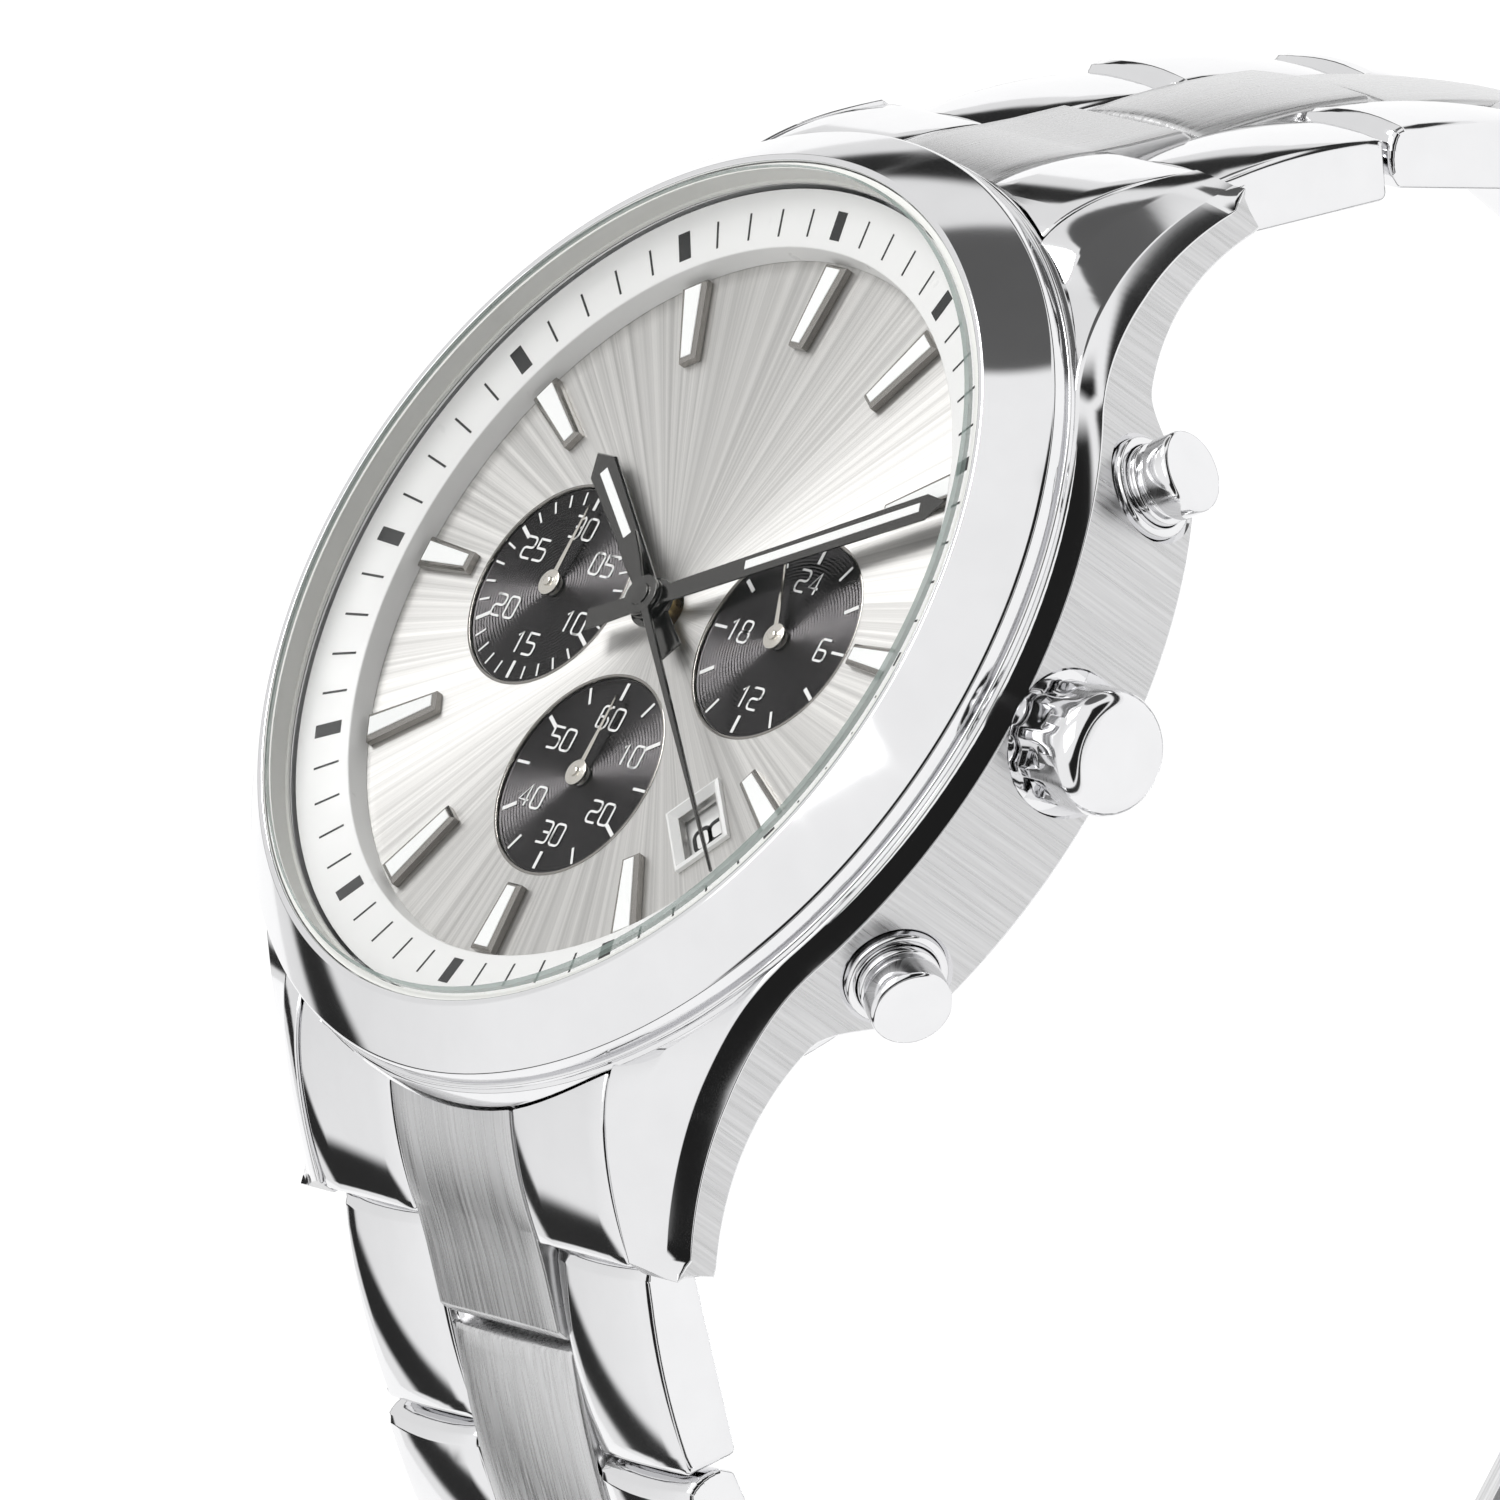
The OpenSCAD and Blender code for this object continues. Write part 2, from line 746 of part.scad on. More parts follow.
module lug_spring_bars() {
    reach = lug_gap + bar_depth - 0.1;
    color("gray") for (s = [-1, 1]) rod_x(-reach, reach, bar_r, s * lug_hole_y, lug_hole_z);
}

// ---- Clasp ----

module clasp_blade_b() {
    color("silver")
    difference() {
        union() {
            translate([-blade_w, -clasp_y + 2.5, hinge_a_z + 0.1])
                cube([2 * blade_w, clasp_y - 2.5 + hinge_y - blade_gap, blade_t]);
            for (s = [-1, 1]) plate_x(s * (centre_half_w + 0.7), 1.2) hull() {
                translate([-clasp_y, clasp_z]) circle(r = 1.2, $fn = 32);
                translate([-clasp_y + 3.2, hinge_a_z + 0.5]) circle(r = 0.38, $fn = 32);
            }
            rod_x(-1.4, 1.4, knuckle_r, hinge_y, hinge_a_z + 0.4);
            translate([-1.4, hinge_y - blade_gap - 0.1, hinge_a_z + 0.1]) cube([2.8, blade_gap + 0.1, blade_t]);
        }
        rod_x(-10, 10, pin_r + run, -clasp_y, clasp_z);
        rod_x(-10, 10, 0.35 + run, hinge_y, hinge_a_z + 0.4);
    }
}

module clasp_blade_a() {
    z = hinge_b_z - 0.1;
    color("silver")
    difference() {
        union() {
            translate([-blade_w, -hinge_y + 1.3, z]) cube([2 * blade_w, 2 * hinge_y - 2.3, blade_t - 0.1]);
            for (s = [-1, 1]) plate_x(s * 2.75, 2.5) hull() {
                translate([hinge_y, hinge_a_z + 0.4]) circle(r = knuckle_r, $fn = 32);
                translate([hinge_y - 1.2, z + 0.35]) circle(r = 0.35, $fn = 32);
            }
            rod_x(-1.4, 1.4, knuckle_r, -hinge_y, z + 0.2);
            translate([-1.4, -hinge_y, z]) cube([2.8, 2, blade_t - 0.1]);
        }
        rod_x(-10, 10, 0.35 + run, hinge_y, hinge_a_z + 0.4);
        rod_x(-10, 10, 0.35 + run, -hinge_y, z + 0.2);
    }
}

module clasp_cover() {
    z = hinge_b_z + 0.1;
    color("silver")
    difference() {
        union() {
            translate([-cover_w, -cover_end, cover_z]) cube([2 * cover_w, clasp_y - 0.8 + cover_end, cover_t]);
            for (s = [-1, 1]) translate([s * (cover_w - 0.5) - 0.5, -cover_end, cover_z])
                cube([1, clasp_y - 0.8 + cover_end, cover_wall_h]);
            for (s = [-1, 1]) plate_x(s * 2.4, 1.6) translate([-hinge_y - 0.75, cover_z])
                square([1.5, z + 0.75 - cover_z]);
        }
        rod_x(-5, 5, 0.35 + run, -hinge_y, z);
        translate([-centre_half_w - 0.3, clasp_y - 3, cover_z - 1]) cube([2 * centre_half_w + 0.6, 10, 10]);
    }
}

module clasp_pins_a() {
    color("gray") rod_x(-3.9, 3.9, 0.35, hinge_y, hinge_a_z + 0.4);
}

module clasp_pins_b() {
    color("gray") rod_x(-3.1, 3.1, 0.35, -hinge_y, hinge_b_z + 0.1);
}

case_middle();
bezel();
crystal();
crystal_gasket();
minute_track_ring();
dial();
subdial_plates();
hour_markers();
date_frame();
movement_ring();
main_plate();
train_bridge();
battery();
circuit_board();
drive_coils();
movement_screws();
case_back();
case_back_gasket();
crown_tube();
pusher_tubes();
end_link_12();
end_link_6();
lug_spring_bars();
hour_hand();
hour_wheel();
minute_hand();
cannon_pinion();
minute_wheel();
chrono_seconds_hand();
small_seconds_hand();
minute_counter_hand();
hour24_hand();
date_disc();
crown();
stem();
crown_seal();
pusher_2();
pusher_4();
for (i = [1:LINKS]) {
    link(i - 1);
    mirror([0, 1, 0]) link(i - 1);
}
clasp_cover();
clasp_blade_a();
clasp_blade_b();
clasp_pins_a();
clasp_pins_b();
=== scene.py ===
import math

import bmesh
import bpy
from mathutils import Matrix, Vector


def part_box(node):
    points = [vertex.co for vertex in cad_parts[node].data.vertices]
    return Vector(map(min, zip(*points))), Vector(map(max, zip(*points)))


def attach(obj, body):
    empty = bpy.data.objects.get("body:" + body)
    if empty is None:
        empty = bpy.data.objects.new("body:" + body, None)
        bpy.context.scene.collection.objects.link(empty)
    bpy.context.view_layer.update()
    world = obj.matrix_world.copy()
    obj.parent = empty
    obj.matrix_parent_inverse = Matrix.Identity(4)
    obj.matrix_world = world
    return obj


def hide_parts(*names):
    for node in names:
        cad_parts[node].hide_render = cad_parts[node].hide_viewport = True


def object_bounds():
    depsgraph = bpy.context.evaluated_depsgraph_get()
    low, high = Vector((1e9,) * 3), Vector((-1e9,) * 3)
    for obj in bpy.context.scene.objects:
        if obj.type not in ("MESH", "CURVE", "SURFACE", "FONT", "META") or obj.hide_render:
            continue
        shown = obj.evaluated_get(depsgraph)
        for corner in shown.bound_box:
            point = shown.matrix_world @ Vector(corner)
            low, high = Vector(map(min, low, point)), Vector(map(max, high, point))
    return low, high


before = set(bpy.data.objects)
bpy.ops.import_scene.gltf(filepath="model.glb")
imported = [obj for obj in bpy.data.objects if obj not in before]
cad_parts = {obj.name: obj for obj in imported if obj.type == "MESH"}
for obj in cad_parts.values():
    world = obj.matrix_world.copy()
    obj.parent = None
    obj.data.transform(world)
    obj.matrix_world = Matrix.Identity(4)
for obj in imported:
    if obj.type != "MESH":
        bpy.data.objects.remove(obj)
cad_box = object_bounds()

# All sizes below are millimetres unless a name says otherwise; meshes are scaled by MM.
MM = 0.001
TAU = 2 * math.pi


def top_of(node):
    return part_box(node)[1][2] / MM


def low_of(node):
    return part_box(node)[0][2] / MM


# ---------------------------------------------------------------- sizes from the frame
DIAL_Z = top_of("dial")
CASE_TOP = top_of("case_middle")
CRYSTAL_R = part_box("crystal")[1][0] / MM
CRYSTAL_TOP = top_of("crystal")
CRYSTAL_LOW = low_of("crystal")
BEZEL_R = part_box("bezel")[1][0] / MM - 0.1
LUG_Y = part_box("case_middle")[1][1] / MM
CASE_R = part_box("case_middle")[1][0] / MM
CROWN_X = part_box("crown")[1][0] / MM
CROWN_R = (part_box("crown")[1][1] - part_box("crown")[0][1]) / 2 / MM
STEM_Z = (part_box("crown")[1][2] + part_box("crown")[0][2]) / 2 / MM
FLOOR_Z = cad_box[0][2] / MM

# ---------------------------------------------------------------- sizes that match the part's source
BODY_R = 20.85
BODY_BORE = 16.3
INNER_R = BODY_R + 0.1
CROWN_WELL_X = 20.3
PUSHER_WELL_X = 19.5

LUG_GAP = 10.0
LUG_TIP_X = 12.2
LUG_TIP_Z = 1.6
LUG_LOW_Y = LUG_Y - 1
CASE_LOW = 1.0
ARCH_Z = 3.9
FLANK_Y = 12.5
FLANK_X = math.sqrt(CASE_R ** 2 - FLANK_Y ** 2)
TRACK_R = 15.4
SMALL_D = 7.25
SMALL_R = 4.35
SMALL_DROP = 0.15
DATE_DEG = 134
DATE_R = 11.7
DATE_WINDOW = (0.95, 1.15)
DATE_FRAME = (1.35, 1.55)
DATE_SHOWN = 8
PUSHER_DEG = 30.5
PUSHER_R = 1.66
PUSHER_X = 23.45
COLLAR_R = 2.06
COLLAR_TOP = 21.5
HOUR_DEG = 305.4
MINUTE_DEG = 64.5
CHRONO_DEG = 130
HOUR24_DEG = 332.7
HOUR_LEN = 9.4
MINUTE_LEN = 15.5
CHRONO_LEN = 15.8
SMALL_LEN = 3.5
HAND_T = 0.15
MARKER_OUT = 15.2
MARKER_W = 1.3
LINKS = 7
SIDE_CROWN = 0.32
CENTRE_CROWN = 0.22
PITCH = 9.0
LINK_T = 3.0
HALF_W = 9.85
CENTRE_W = 3.85
ROUND_R = PITCH / 4 - 0.1
FACE_T = PITCH / 4 + 0.1
FIRST = (24.7, -0.7)
SLOPES = [50] + [62 + 15.5 * k for k in range(LINKS - 1)]


# ---------------------------------------------------------------- materials
def new_material(name):
    m = bpy.data.materials.new(name)
    m.use_nodes = True
    return m, m.node_tree.nodes, m.node_tree.links, m.node_tree.nodes["Principled BSDF"]


def noise(nodes, links, coord, scale, stretch=(1, 1, 1), detail=4.0, rough=0.6):
    """A noise texture of the object's own coordinates, in cycles per metre times stretch."""
    mapping = nodes.new("ShaderNodeMapping")
    mapping.inputs["Scale"].default_value = stretch
    tex = nodes.new("ShaderNodeTexNoise")
    tex.inputs["Scale"].default_value = scale
    tex.inputs["Detail"].default_value = detail
    tex.inputs["Roughness"].default_value = rough
    links.new(coord, mapping.inputs["Vector"])
    links.new(mapping.outputs["Vector"], tex.inputs["Vector"])
    return tex.outputs["Fac"]


def ramp(nodes, links, value, low, high, at=(0.3, 0.7)):
    r = nodes.new("ShaderNodeMapRange")
    r.inputs["From Min"].default_value = at[0]
    r.inputs["From Max"].default_value = at[1]
    r.inputs["To Min"].default_value = low
    r.inputs["To Max"].default_value = high
    links.new(value, r.inputs["Value"])
    return r.outputs["Result"]


def tint(nodes, links, value, dark, light):
    c = nodes.new("ShaderNodeMix")
    c.data_type = "RGBA"
    c.inputs["A"].default_value = (*dark, 1)
    c.inputs["B"].default_value = (*light, 1)
    links.new(value, c.inputs["Factor"])
    return c.outputs["Result"]


def bump(nodes, links, shader, value, strength, distance):
    b = nodes.new("ShaderNodeBump")
    b.inputs["Strength"].default_value = strength
    b.inputs["Distance"].default_value = distance
    links.new(value, b.inputs["Height"])
    links.new(b.outputs["Normal"], shader.inputs["Normal"])


def worn_edge(nodes, links, low, high):
    """0 on flats, 1 on sharp convex edges."""
    g = nodes.new("ShaderNodeNewGeometry")
    return ramp(nodes, links, g.outputs["Pointiness"], 0, 1, (low, high))


def metal(name, base, rough, brushed=None, scale=900, spread=0.04, depth=0.06, edge=0.08):
    """Steel: brushed names the stretch of its grain, or None for a mirror polish with faint marks."""
    m, nodes, links, bsdf = new_material(name)
    coord = nodes.new("ShaderNodeTexCoord").outputs["Object"]
    bsdf.inputs["Metallic"].default_value = 1
    grain = noise(nodes, links, coord, scale, brushed or (1, 1, 1))
    wide = noise(nodes, links, coord, 90)
    edges = worn_edge(nodes, links, 0.52, 0.62)
    mix = nodes.new("ShaderNodeMath")
    mix.operation = "MULTIPLY_ADD"
    mix.inputs[1].default_value = edge
    links.new(edges, mix.inputs[0])
    links.new(ramp(nodes, links, grain if brushed else wide, rough - spread, rough + spread), mix.inputs[2])
    links.new(mix.outputs[0], bsdf.inputs["Roughness"])
    dark = tuple(c * (0.74 if brushed else 0.97) for c in base)
    links.new(tint(nodes, links, ramp(nodes, links, grain, 0, 1), dark, base), bsdf.inputs["Base Color"])
    bump(nodes, links, bsdf, grain, depth, 0.00002)
    return m


def satin(name, base, rough, scale=700, metallic=0.0, depth=0.1):
    m, nodes, links, bsdf = new_material(name)
    coord = nodes.new("ShaderNodeTexCoord").outputs["Object"]
    bsdf.inputs["Metallic"].default_value = metallic
    grain = noise(nodes, links, coord, scale)
    wide = noise(nodes, links, coord, 60)
    links.new(ramp(nodes, links, grain, rough - 0.05, rough + 0.05), bsdf.inputs["Roughness"])
    dark = tuple(c * 0.93 for c in base)
    links.new(tint(nodes, links, wide, dark, base), bsdf.inputs["Base Color"])
    bump(nodes, links, bsdf, grain, depth, 0.00002)
    return m


def sunburst(name, base):
    """Radially brushed metal: the grain depends on the angle round Z only."""
    m, nodes, links, bsdf = new_material(name)
    coord = nodes.new("ShaderNodeTexCoord").outputs["Object"]
    norm = nodes.new("ShaderNodeVectorMath")
    norm.operation = "MULTIPLY"
    norm.inputs[1].default_value = (1, 1, 0)
    unit = nodes.new("ShaderNodeVectorMath")
    unit.operation = "NORMALIZE"
    links.new(coord, norm.inputs[0])
    links.new(norm.outputs[0], unit.inputs[0])
    grain = noise(nodes, links, unit.outputs[0], 42, detail=6, rough=0.75)
    tangent = nodes.new("ShaderNodeTangent")
    tangent.direction_type = "RADIAL"
    tangent.axis = "Z"
    links.new(tangent.outputs[0], bsdf.inputs["Tangent"])
    bsdf.inputs["Metallic"].default_value = 0.85
    bsdf.inputs["Anisotropic"].default_value = 0.75
    bsdf.inputs["Anisotropic Rotation"].default_value = 0.25
    links.new(ramp(nodes, links, grain, 0.33, 0.45), bsdf.inputs["Roughness"])
    dark = tuple(c * 0.74 for c in base)
    streak = ramp(nodes, links, grain, 0, 1, (0.4, 0.6))
    links.new(tint(nodes, links, streak, dark, base), bsdf.inputs["Base Color"])
    bump(nodes, links, bsdf, grain, 0.3, 0.00002)
    return m


def clear_glass(name):
    """The crystal's flat faces: clear, with a faint gloss."""
    m, nodes, links, bsdf = new_material(name)
    coord = nodes.new("ShaderNodeTexCoord").outputs["Object"]
    bsdf.inputs["Base Color"].default_value = (0.03, 0.035, 0.033, 1)
    haze = noise(nodes, links, coord, 150)
    links.new(ramp(nodes, links, haze, 0.01, 0.03), bsdf.inputs["Roughness"])
    bsdf.inputs["Alpha"].default_value = 0.05
    bump(nodes, links, bsdf, haze, 0.01, 0.00001)
    return m


def edge_glass(name):
    """The crystal's polished edge, greenish where it is seen through its width."""
    m, nodes, links, bsdf = new_material(name)
    coord = nodes.new("ShaderNodeTexCoord").outputs["Object"]
    haze = noise(nodes, links, coord, 400)
    links.new(tint(nodes, links, haze, (0.22, 0.28, 0.26), (0.3, 0.37, 0.34)), bsdf.inputs["Base Color"])
    links.new(ramp(nodes, links, haze, 0.06, 0.16), bsdf.inputs["Roughness"])
    bsdf.inputs["Alpha"].default_value = 0.75
    bump(nodes, links, bsdf, haze, 0.05, 0.00001)
    return m


POLISHED = metal("polished_steel", (0.83, 0.83, 0.84), 0.07, None, 500, 0.025, 0.015, 0.05)
FLANK = metal("flank_brushed_steel", (0.7, 0.7, 0.705), 0.3, (1, 1, 0.02), 7000, 0.06, 0.4)
GRAIN_T = metal("link_brushed_steel", (0.74, 0.74, 0.745), 0.28, (1, 0.02, 1), 7000, 0.06, 0.35)
GRAIN_END = metal("end_link_brushed_steel", (0.7, 0.7, 0.705), 0.28, (1, 0.02, 0.02), 7000, 0.06, 0.35)
GRAIN_X = metal("cross_brushed_steel", (0.7, 0.7, 0.71), 0.3, (0.02, 1, 1), 6000, 0.06, 0.3)
DARK_STEEL = metal("hand_steel", (0.12, 0.118, 0.115), 0.12, None, 900, 0.03, 0.03)
MARKER_STEEL = metal("marker_steel", (0.36, 0.345, 0.325), 0.08, None, 900, 0.03, 0.03)
GOLD_STEEL = metal("arbor_steel", (0.75, 0.72, 0.66), 0.12, None, 900, 0.04, 0.04)
BRASS = metal("movement_brass", (0.68, 0.52, 0.25), 0.3, (1, 0.05, 1), 4000, 0.06, 0.2)
COPPER = metal("coil_copper", (0.7, 0.33, 0.16), 0.35, (1, 1, 0.05), 4000, 0.06, 0.3)
DIAL = sunburst("dial_sunburst", (0.76, 0.75, 0.73))
GREY = satin("subdial_grey", (0.042, 0.04, 0.041), 0.2, 1500, 1.0, 0.02)
WHITE = satin("white_lacquer", (0.86, 0.86, 0.85), 0.32, 900, 0, 0.03)
LUME = satin("lume", (0.93, 0.94, 0.93), 0.55, 4000, 0, 0.25)
PRINT_WHITE = satin("print_white", (0.88, 0.88, 0.87), 0.5, 4000, 0, 0.15)
PRINT_BLACK = satin("print_black", (0.012, 0.012, 0.012), 0.45, 4000, 0, 0.15)
SEAL = satin("black_rubber", (0.02, 0.02, 0.02), 0.55, 2500, 0, 0.2)
IVORY = satin("gasket_nylon", (0.8, 0.8, 0.77), 0.4, 900, 0, 0.05)
BOARD = satin("circuit_green", (0.02, 0.16, 0.07), 0.4, 1200, 0, 0.15)
CLEAR = clear_glass("crystal_clear")
GREEN_EDGE = edge_glass("crystal_edge")


# ---------------------------------------------------------------- mesh helpers
def piece(name, verts, faces, mats, body, replaces=(), marks=None, place=None, sharp=32):
    """Makes a mesh piece from millimetre points. marks gives each face's material number."""
    mesh = bpy.data.meshes.new(name)
    mesh.from_pydata([tuple(c * MM for c in v) for v in verts], [], faces)
    for m in mats:
        mesh.materials.append(m)
    if marks:
        mesh.polygons.foreach_set("material_index", marks)
    bm = bmesh.new()
    bm.from_mesh(mesh)
    bmesh.ops.remove_doubles(bm, verts=bm.verts, dist=1e-7)
    bmesh.ops.dissolve_degenerate(bm, edges=bm.edges, dist=1e-7)
    bmesh.ops.recalc_face_normals(bm, faces=bm.faces)
    bm.to_mesh(mesh)
    bm.free()
    mesh.polygons.foreach_set("use_smooth", [True] * len(mesh.polygons))
    mesh.set_sharp_from_angle(angle=math.radians(sharp))
    obj = bpy.data.objects.new(name, mesh)
    bpy.context.collection.objects.link(obj)
    if place is not None:
        obj.matrix_world = place
        bpy.context.view_layer.update()
    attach(obj, body)
    if replaces:
        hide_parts(*replaces)
    return obj


class Shape:
    """Collects solids for one piece, each with its material number."""

    def __init__(self):
        self.verts, self.faces, self.marks = [], [], []

    def add(self, verts, faces, mark=0, move=None):
        k = len(self.verts)
        self.verts += [tuple(move @ Vector(v)) if move else tuple(v) for v in verts]
        marks = mark if isinstance(mark, list) else [mark] * len(faces)
        self.faces += [tuple(i + k for i in f) for f in faces]
        self.marks += marks
        return self

    def make(self, name, mats, body, replaces=(), slot=None, place=None, sharp=32):
        return piece(name, self.verts, self.faces, mats, body, replaces, self.marks, place, sharp)


def lathe(profile, seg=192, closed=False, wave=None):
    """Turns an (r, z) profile round Z. A closed profile is a ring; wave(i, angle) changes a radius."""
    verts, rows = [], []
    for i, (r, z) in enumerate(profile):
        if r < 1e-6:
            rows.append([len(verts)] * seg)
            verts.append((0, 0, z))
            continue
        rows.append(list(range(len(verts), len(verts) + seg)))
        for k in range(seg):
            a = TAU * k / seg
            rr = r - (wave(i, a) if wave else 0)
            verts.append((rr * math.cos(a), rr * math.sin(a), z))
    faces = []
    pairs = list(zip(rows, rows[1:])) + ([(rows[-1], rows[0])] if closed else [])
    for a, b in pairs:
        for k in range(seg):
            q = [a[k], a[(k + 1) % seg], b[(k + 1) % seg], b[k]]
            q = [v for n, v in enumerate(q) if v not in q[:n]]
            if len(q) > 2:
                faces.append(tuple(q))
    return verts, faces


def rounded(points, radius, steps=4, closed=True):
    """The polygon with each corner replaced by an arc. A point may carry its own radius as a third value."""
    out = []
    n = len(points)
    for i, p in enumerate(points):
        r = p[2] if len(p) > 2 else radius
        p = Vector(p[:2])
        if not closed and i in (0, n - 1) or r <= 0:
            out.append(tuple(p))
            continue
        a, b = Vector(points[i - 1][:2]) - p, Vector(points[(i + 1) % n][:2]) - p
        half = a.angle(b, 0) / 2
        if half < 0.02 or half > math.pi / 2 - 0.02:
            out += [tuple(p)] * (steps + 1)
            continue
        cut = min(r / math.tan(half), 0.45 * a.length, 0.45 * b.length)
        r = cut * math.tan(half)
        mid = p + (a.normalized() + b.normalized()).normalized() * (r / math.sin(half))
        s, e = p + a.normalized() * cut - mid, p + b.normalized() * cut - mid
        turn = s.angle_signed(e, 0)
        for k in range(steps + 1):
            t = -turn * k / steps
            c, d = math.cos(t), math.sin(t)
            out.append((mid.x + s.x * c - s.y * d, mid.y + s.x * d + s.y * c))
    return out


def distinct(points):
    """The closed outline without neighbouring points that coincide."""
    return [p for i, p in enumerate(points) if (Vector(p) - Vector(points[i - 1])).length > 1e-4]


def slab(outline, x0, x1, edge=0.2, dome=0.0, steps=3, across=6):
    """A plate of the (y, z) outline from x0 to x1, with rounded rims. dome lowers the top at its sides."""
    outline = distinct(outline)
    n = len(outline)
    area = sum(outline[i - 1][0] * outline[i][1] - outline[i][0] * outline[i - 1][1] for i in range(n))
    sign = 1 if area > 0 else -1
    normals = []
    for i in range(n):
        a, b = Vector(outline[i - 1]), Vector(outline[(i + 1) % n])
        d = (b - a).normalized()
        normals.append(Vector((d.y, -d.x)) * sign)
    mid, half = (x0 + x1) / 2, (x1 - x0) / 2
    angles = [math.pi / 2 * k / steps for k in range(steps + 1)]
    levels = [(x0 + edge * (1 - math.cos(a)), edge * (1 - math.sin(a))) for a in angles]
    inner = [(x0 + edge + (x1 - x0 - 2 * edge) * k / across, 0.0) for k in range(1, across)]
    right = [(x0 + x1 - x, i) for x, i in reversed(levels)]
    rows = levels + inner + right
    verts, faces = [], []
    for x, inset in rows:
        u = (x - mid) / half
        for p, v in zip(outline, normals):
            q = Vector(p) - v * inset
            q.y -= dome * u * u * max(0.0, v.y)
            verts.append((x, q.x, q.y))
    for r in range(len(rows) - 1):
        for i in range(n):
            j = (i + 1) % n
            faces.append((r * n + i, r * n + j, (r + 1) * n + j, (r + 1) * n + i))
    faces.append(tuple(range(n)))
    faces.append(tuple(range((len(rows) - 1) * n, len(rows) * n)))
    return verts, faces


def prism(outline, z0, z1, edge=0.0):
    """An (x, y) outline from z0 to z1, its top rim cut back by edge."""
    outline = distinct(outline)
    n = len(outline)
    area = sum(outline[i - 1][0] * outline[i][1] - outline[i][0] * outline[i - 1][1] for i in range(n))
    sign = 1 if area > 0 else -1
    verts = [(x, y, z0) for x, y in outline] + [(x, y, z1 - edge) for x, y in outline]
    for i in range(n):
        a, p, b = Vector(outline[i - 1]), Vector(outline[i]), Vector(outline[(i + 1) % n])
        u, w = (p - a).normalized(), (b - p).normalized()
        nu, nw = Vector((u.y, -u.x)), Vector((w.y, -w.x))
        bis = nu + nw
        bis = bis / max(0.3, bis.dot(nu)) * sign
        verts.append((p.x - bis.x * edge, p.y - bis.y * edge, z1))
    faces = [(r * n + i, r * n + (i + 1) % n, (r + 1) * n + (i + 1) % n, (r + 1) * n + i)
             for r in (0, 1) for i in range(n)]
    faces += [tuple(range(n)), tuple(range(2 * n, 3 * n))]
    return verts, faces


def rod(r, x0, x1, seg=32, edge=0.05):
    """A rod along X with chamfered ends."""
    profile = [(0, x0), (r - edge, x0), (r, x0 + edge), (r, x1 - edge), (r - edge, x1), (0, x1)]
    verts, faces = lathe(profile, seg)
    return [(z, x, y) for x, y, z in verts], faces


def spin_z(deg, x=0, y=0, z=0):
    """Turns clockwise from 12 o'clock about Z, after a shift."""
    return Matrix.Rotation(-math.radians(deg), 4, "Z") @ Matrix.Translation((x, y, z))


ALONG_X = Matrix(((0, 0, 1, 0), (1, 0, 0, 0), (0, 1, 0, 0), (0, 0, 0, 1)))


# ---------------------------------------------------------------- case
def lug_x(y):
    """Half width of the case at a distance y along it."""
    y = abs(y)
    if y < FLANK_Y:
        return math.sqrt(CASE_R ** 2 - y * y)
    return LUG_TIP_X + (FLANK_X - LUG_TIP_X) * max(0, (LUG_Y - y) / (LUG_Y - FLANK_Y)) ** 1.3


def case_top(y):
    y = abs(y)
    return CASE_TOP if y <= 13 else CASE_TOP - (CASE_TOP - LUG_TIP_Z) * ((y - 13) / (LUG_Y - 13)) ** 1.7


def shoulder_top(y):
    """Height of the lug's inner edge, and of the end link beside it."""
    y = abs(y)
    fall = max(0, (y - 18) / (LUG_Y + 0.25 - 18)) ** 1.6
    return CASE_TOP - 0.02 - (CASE_TOP - 2.2) * fall


def case_low(y):
    y = abs(y)
    if y <= 11:
        return CASE_LOW
    if y <= 14.5:
        u = (y - 11) / 3.5
        return CASE_LOW + (ARCH_Z - CASE_LOW) * u * u * (3 - 2 * u)
    return ARCH_Z * (1 - min(1, (y - 14.5) / (LUG_LOW_Y - 14.5)) ** 1.9)


def case_rows(side):
    """Cross sections of one half of the case, from lug tip to lug tip."""
    inner_r = 19.4
    rows = []
    count = 150
    for k in range(count + 1):
        u = -1 + 2 * k / count
        y = LUG_Y * u
        out, top, low = lug_x(y), case_top(y), case_low(y)
        tip = max(0.0, (abs(y) - LUG_LOW_Y) / (LUG_Y - LUG_LOW_Y))
        low = low + tip * (top - low - 0.1)
        inside = max(LUG_GAP, math.sqrt(max(0, inner_r ** 2 - y * y)))
        inner_top = max(top, shoulder_top(y))
        bevel = min(0.62, 0.5 * (out - inside))
        drop = min(1.05, 0.36 * (top - low))
        rim = min(0.18, 0.25 * (top - low))
        middle = (inside + out - bevel) / 2
        dome = (inner_top + top) / 2 + 0.12 * (inner_top - top)
        outline = rounded([
            (inside, low, 0.1), (inside, inner_top, 0.1), (middle, dome, 1.5),
            (out - bevel, top, 0.3), (out, top - drop, 0.25), (out, low + rim, 0.06), (out - rim, low, 0.06)
        ], 0.1, 3)
        rows.append([(side * x, y, z) for x, z in outline])
    return rows


def loft(rows):
    n = len(rows[0])
    verts = [v for row in rows for v in row]
    faces = [(r * n + i, r * n + (i + 1) % n, (r + 1) * n + (i + 1) % n, (r + 1) * n + i)
             for r in range(len(rows) - 1) for i in range(n)]
    faces += [tuple(range(n)), tuple(range((len(rows) - 1) * n, len(rows) * n))]
    return verts, faces


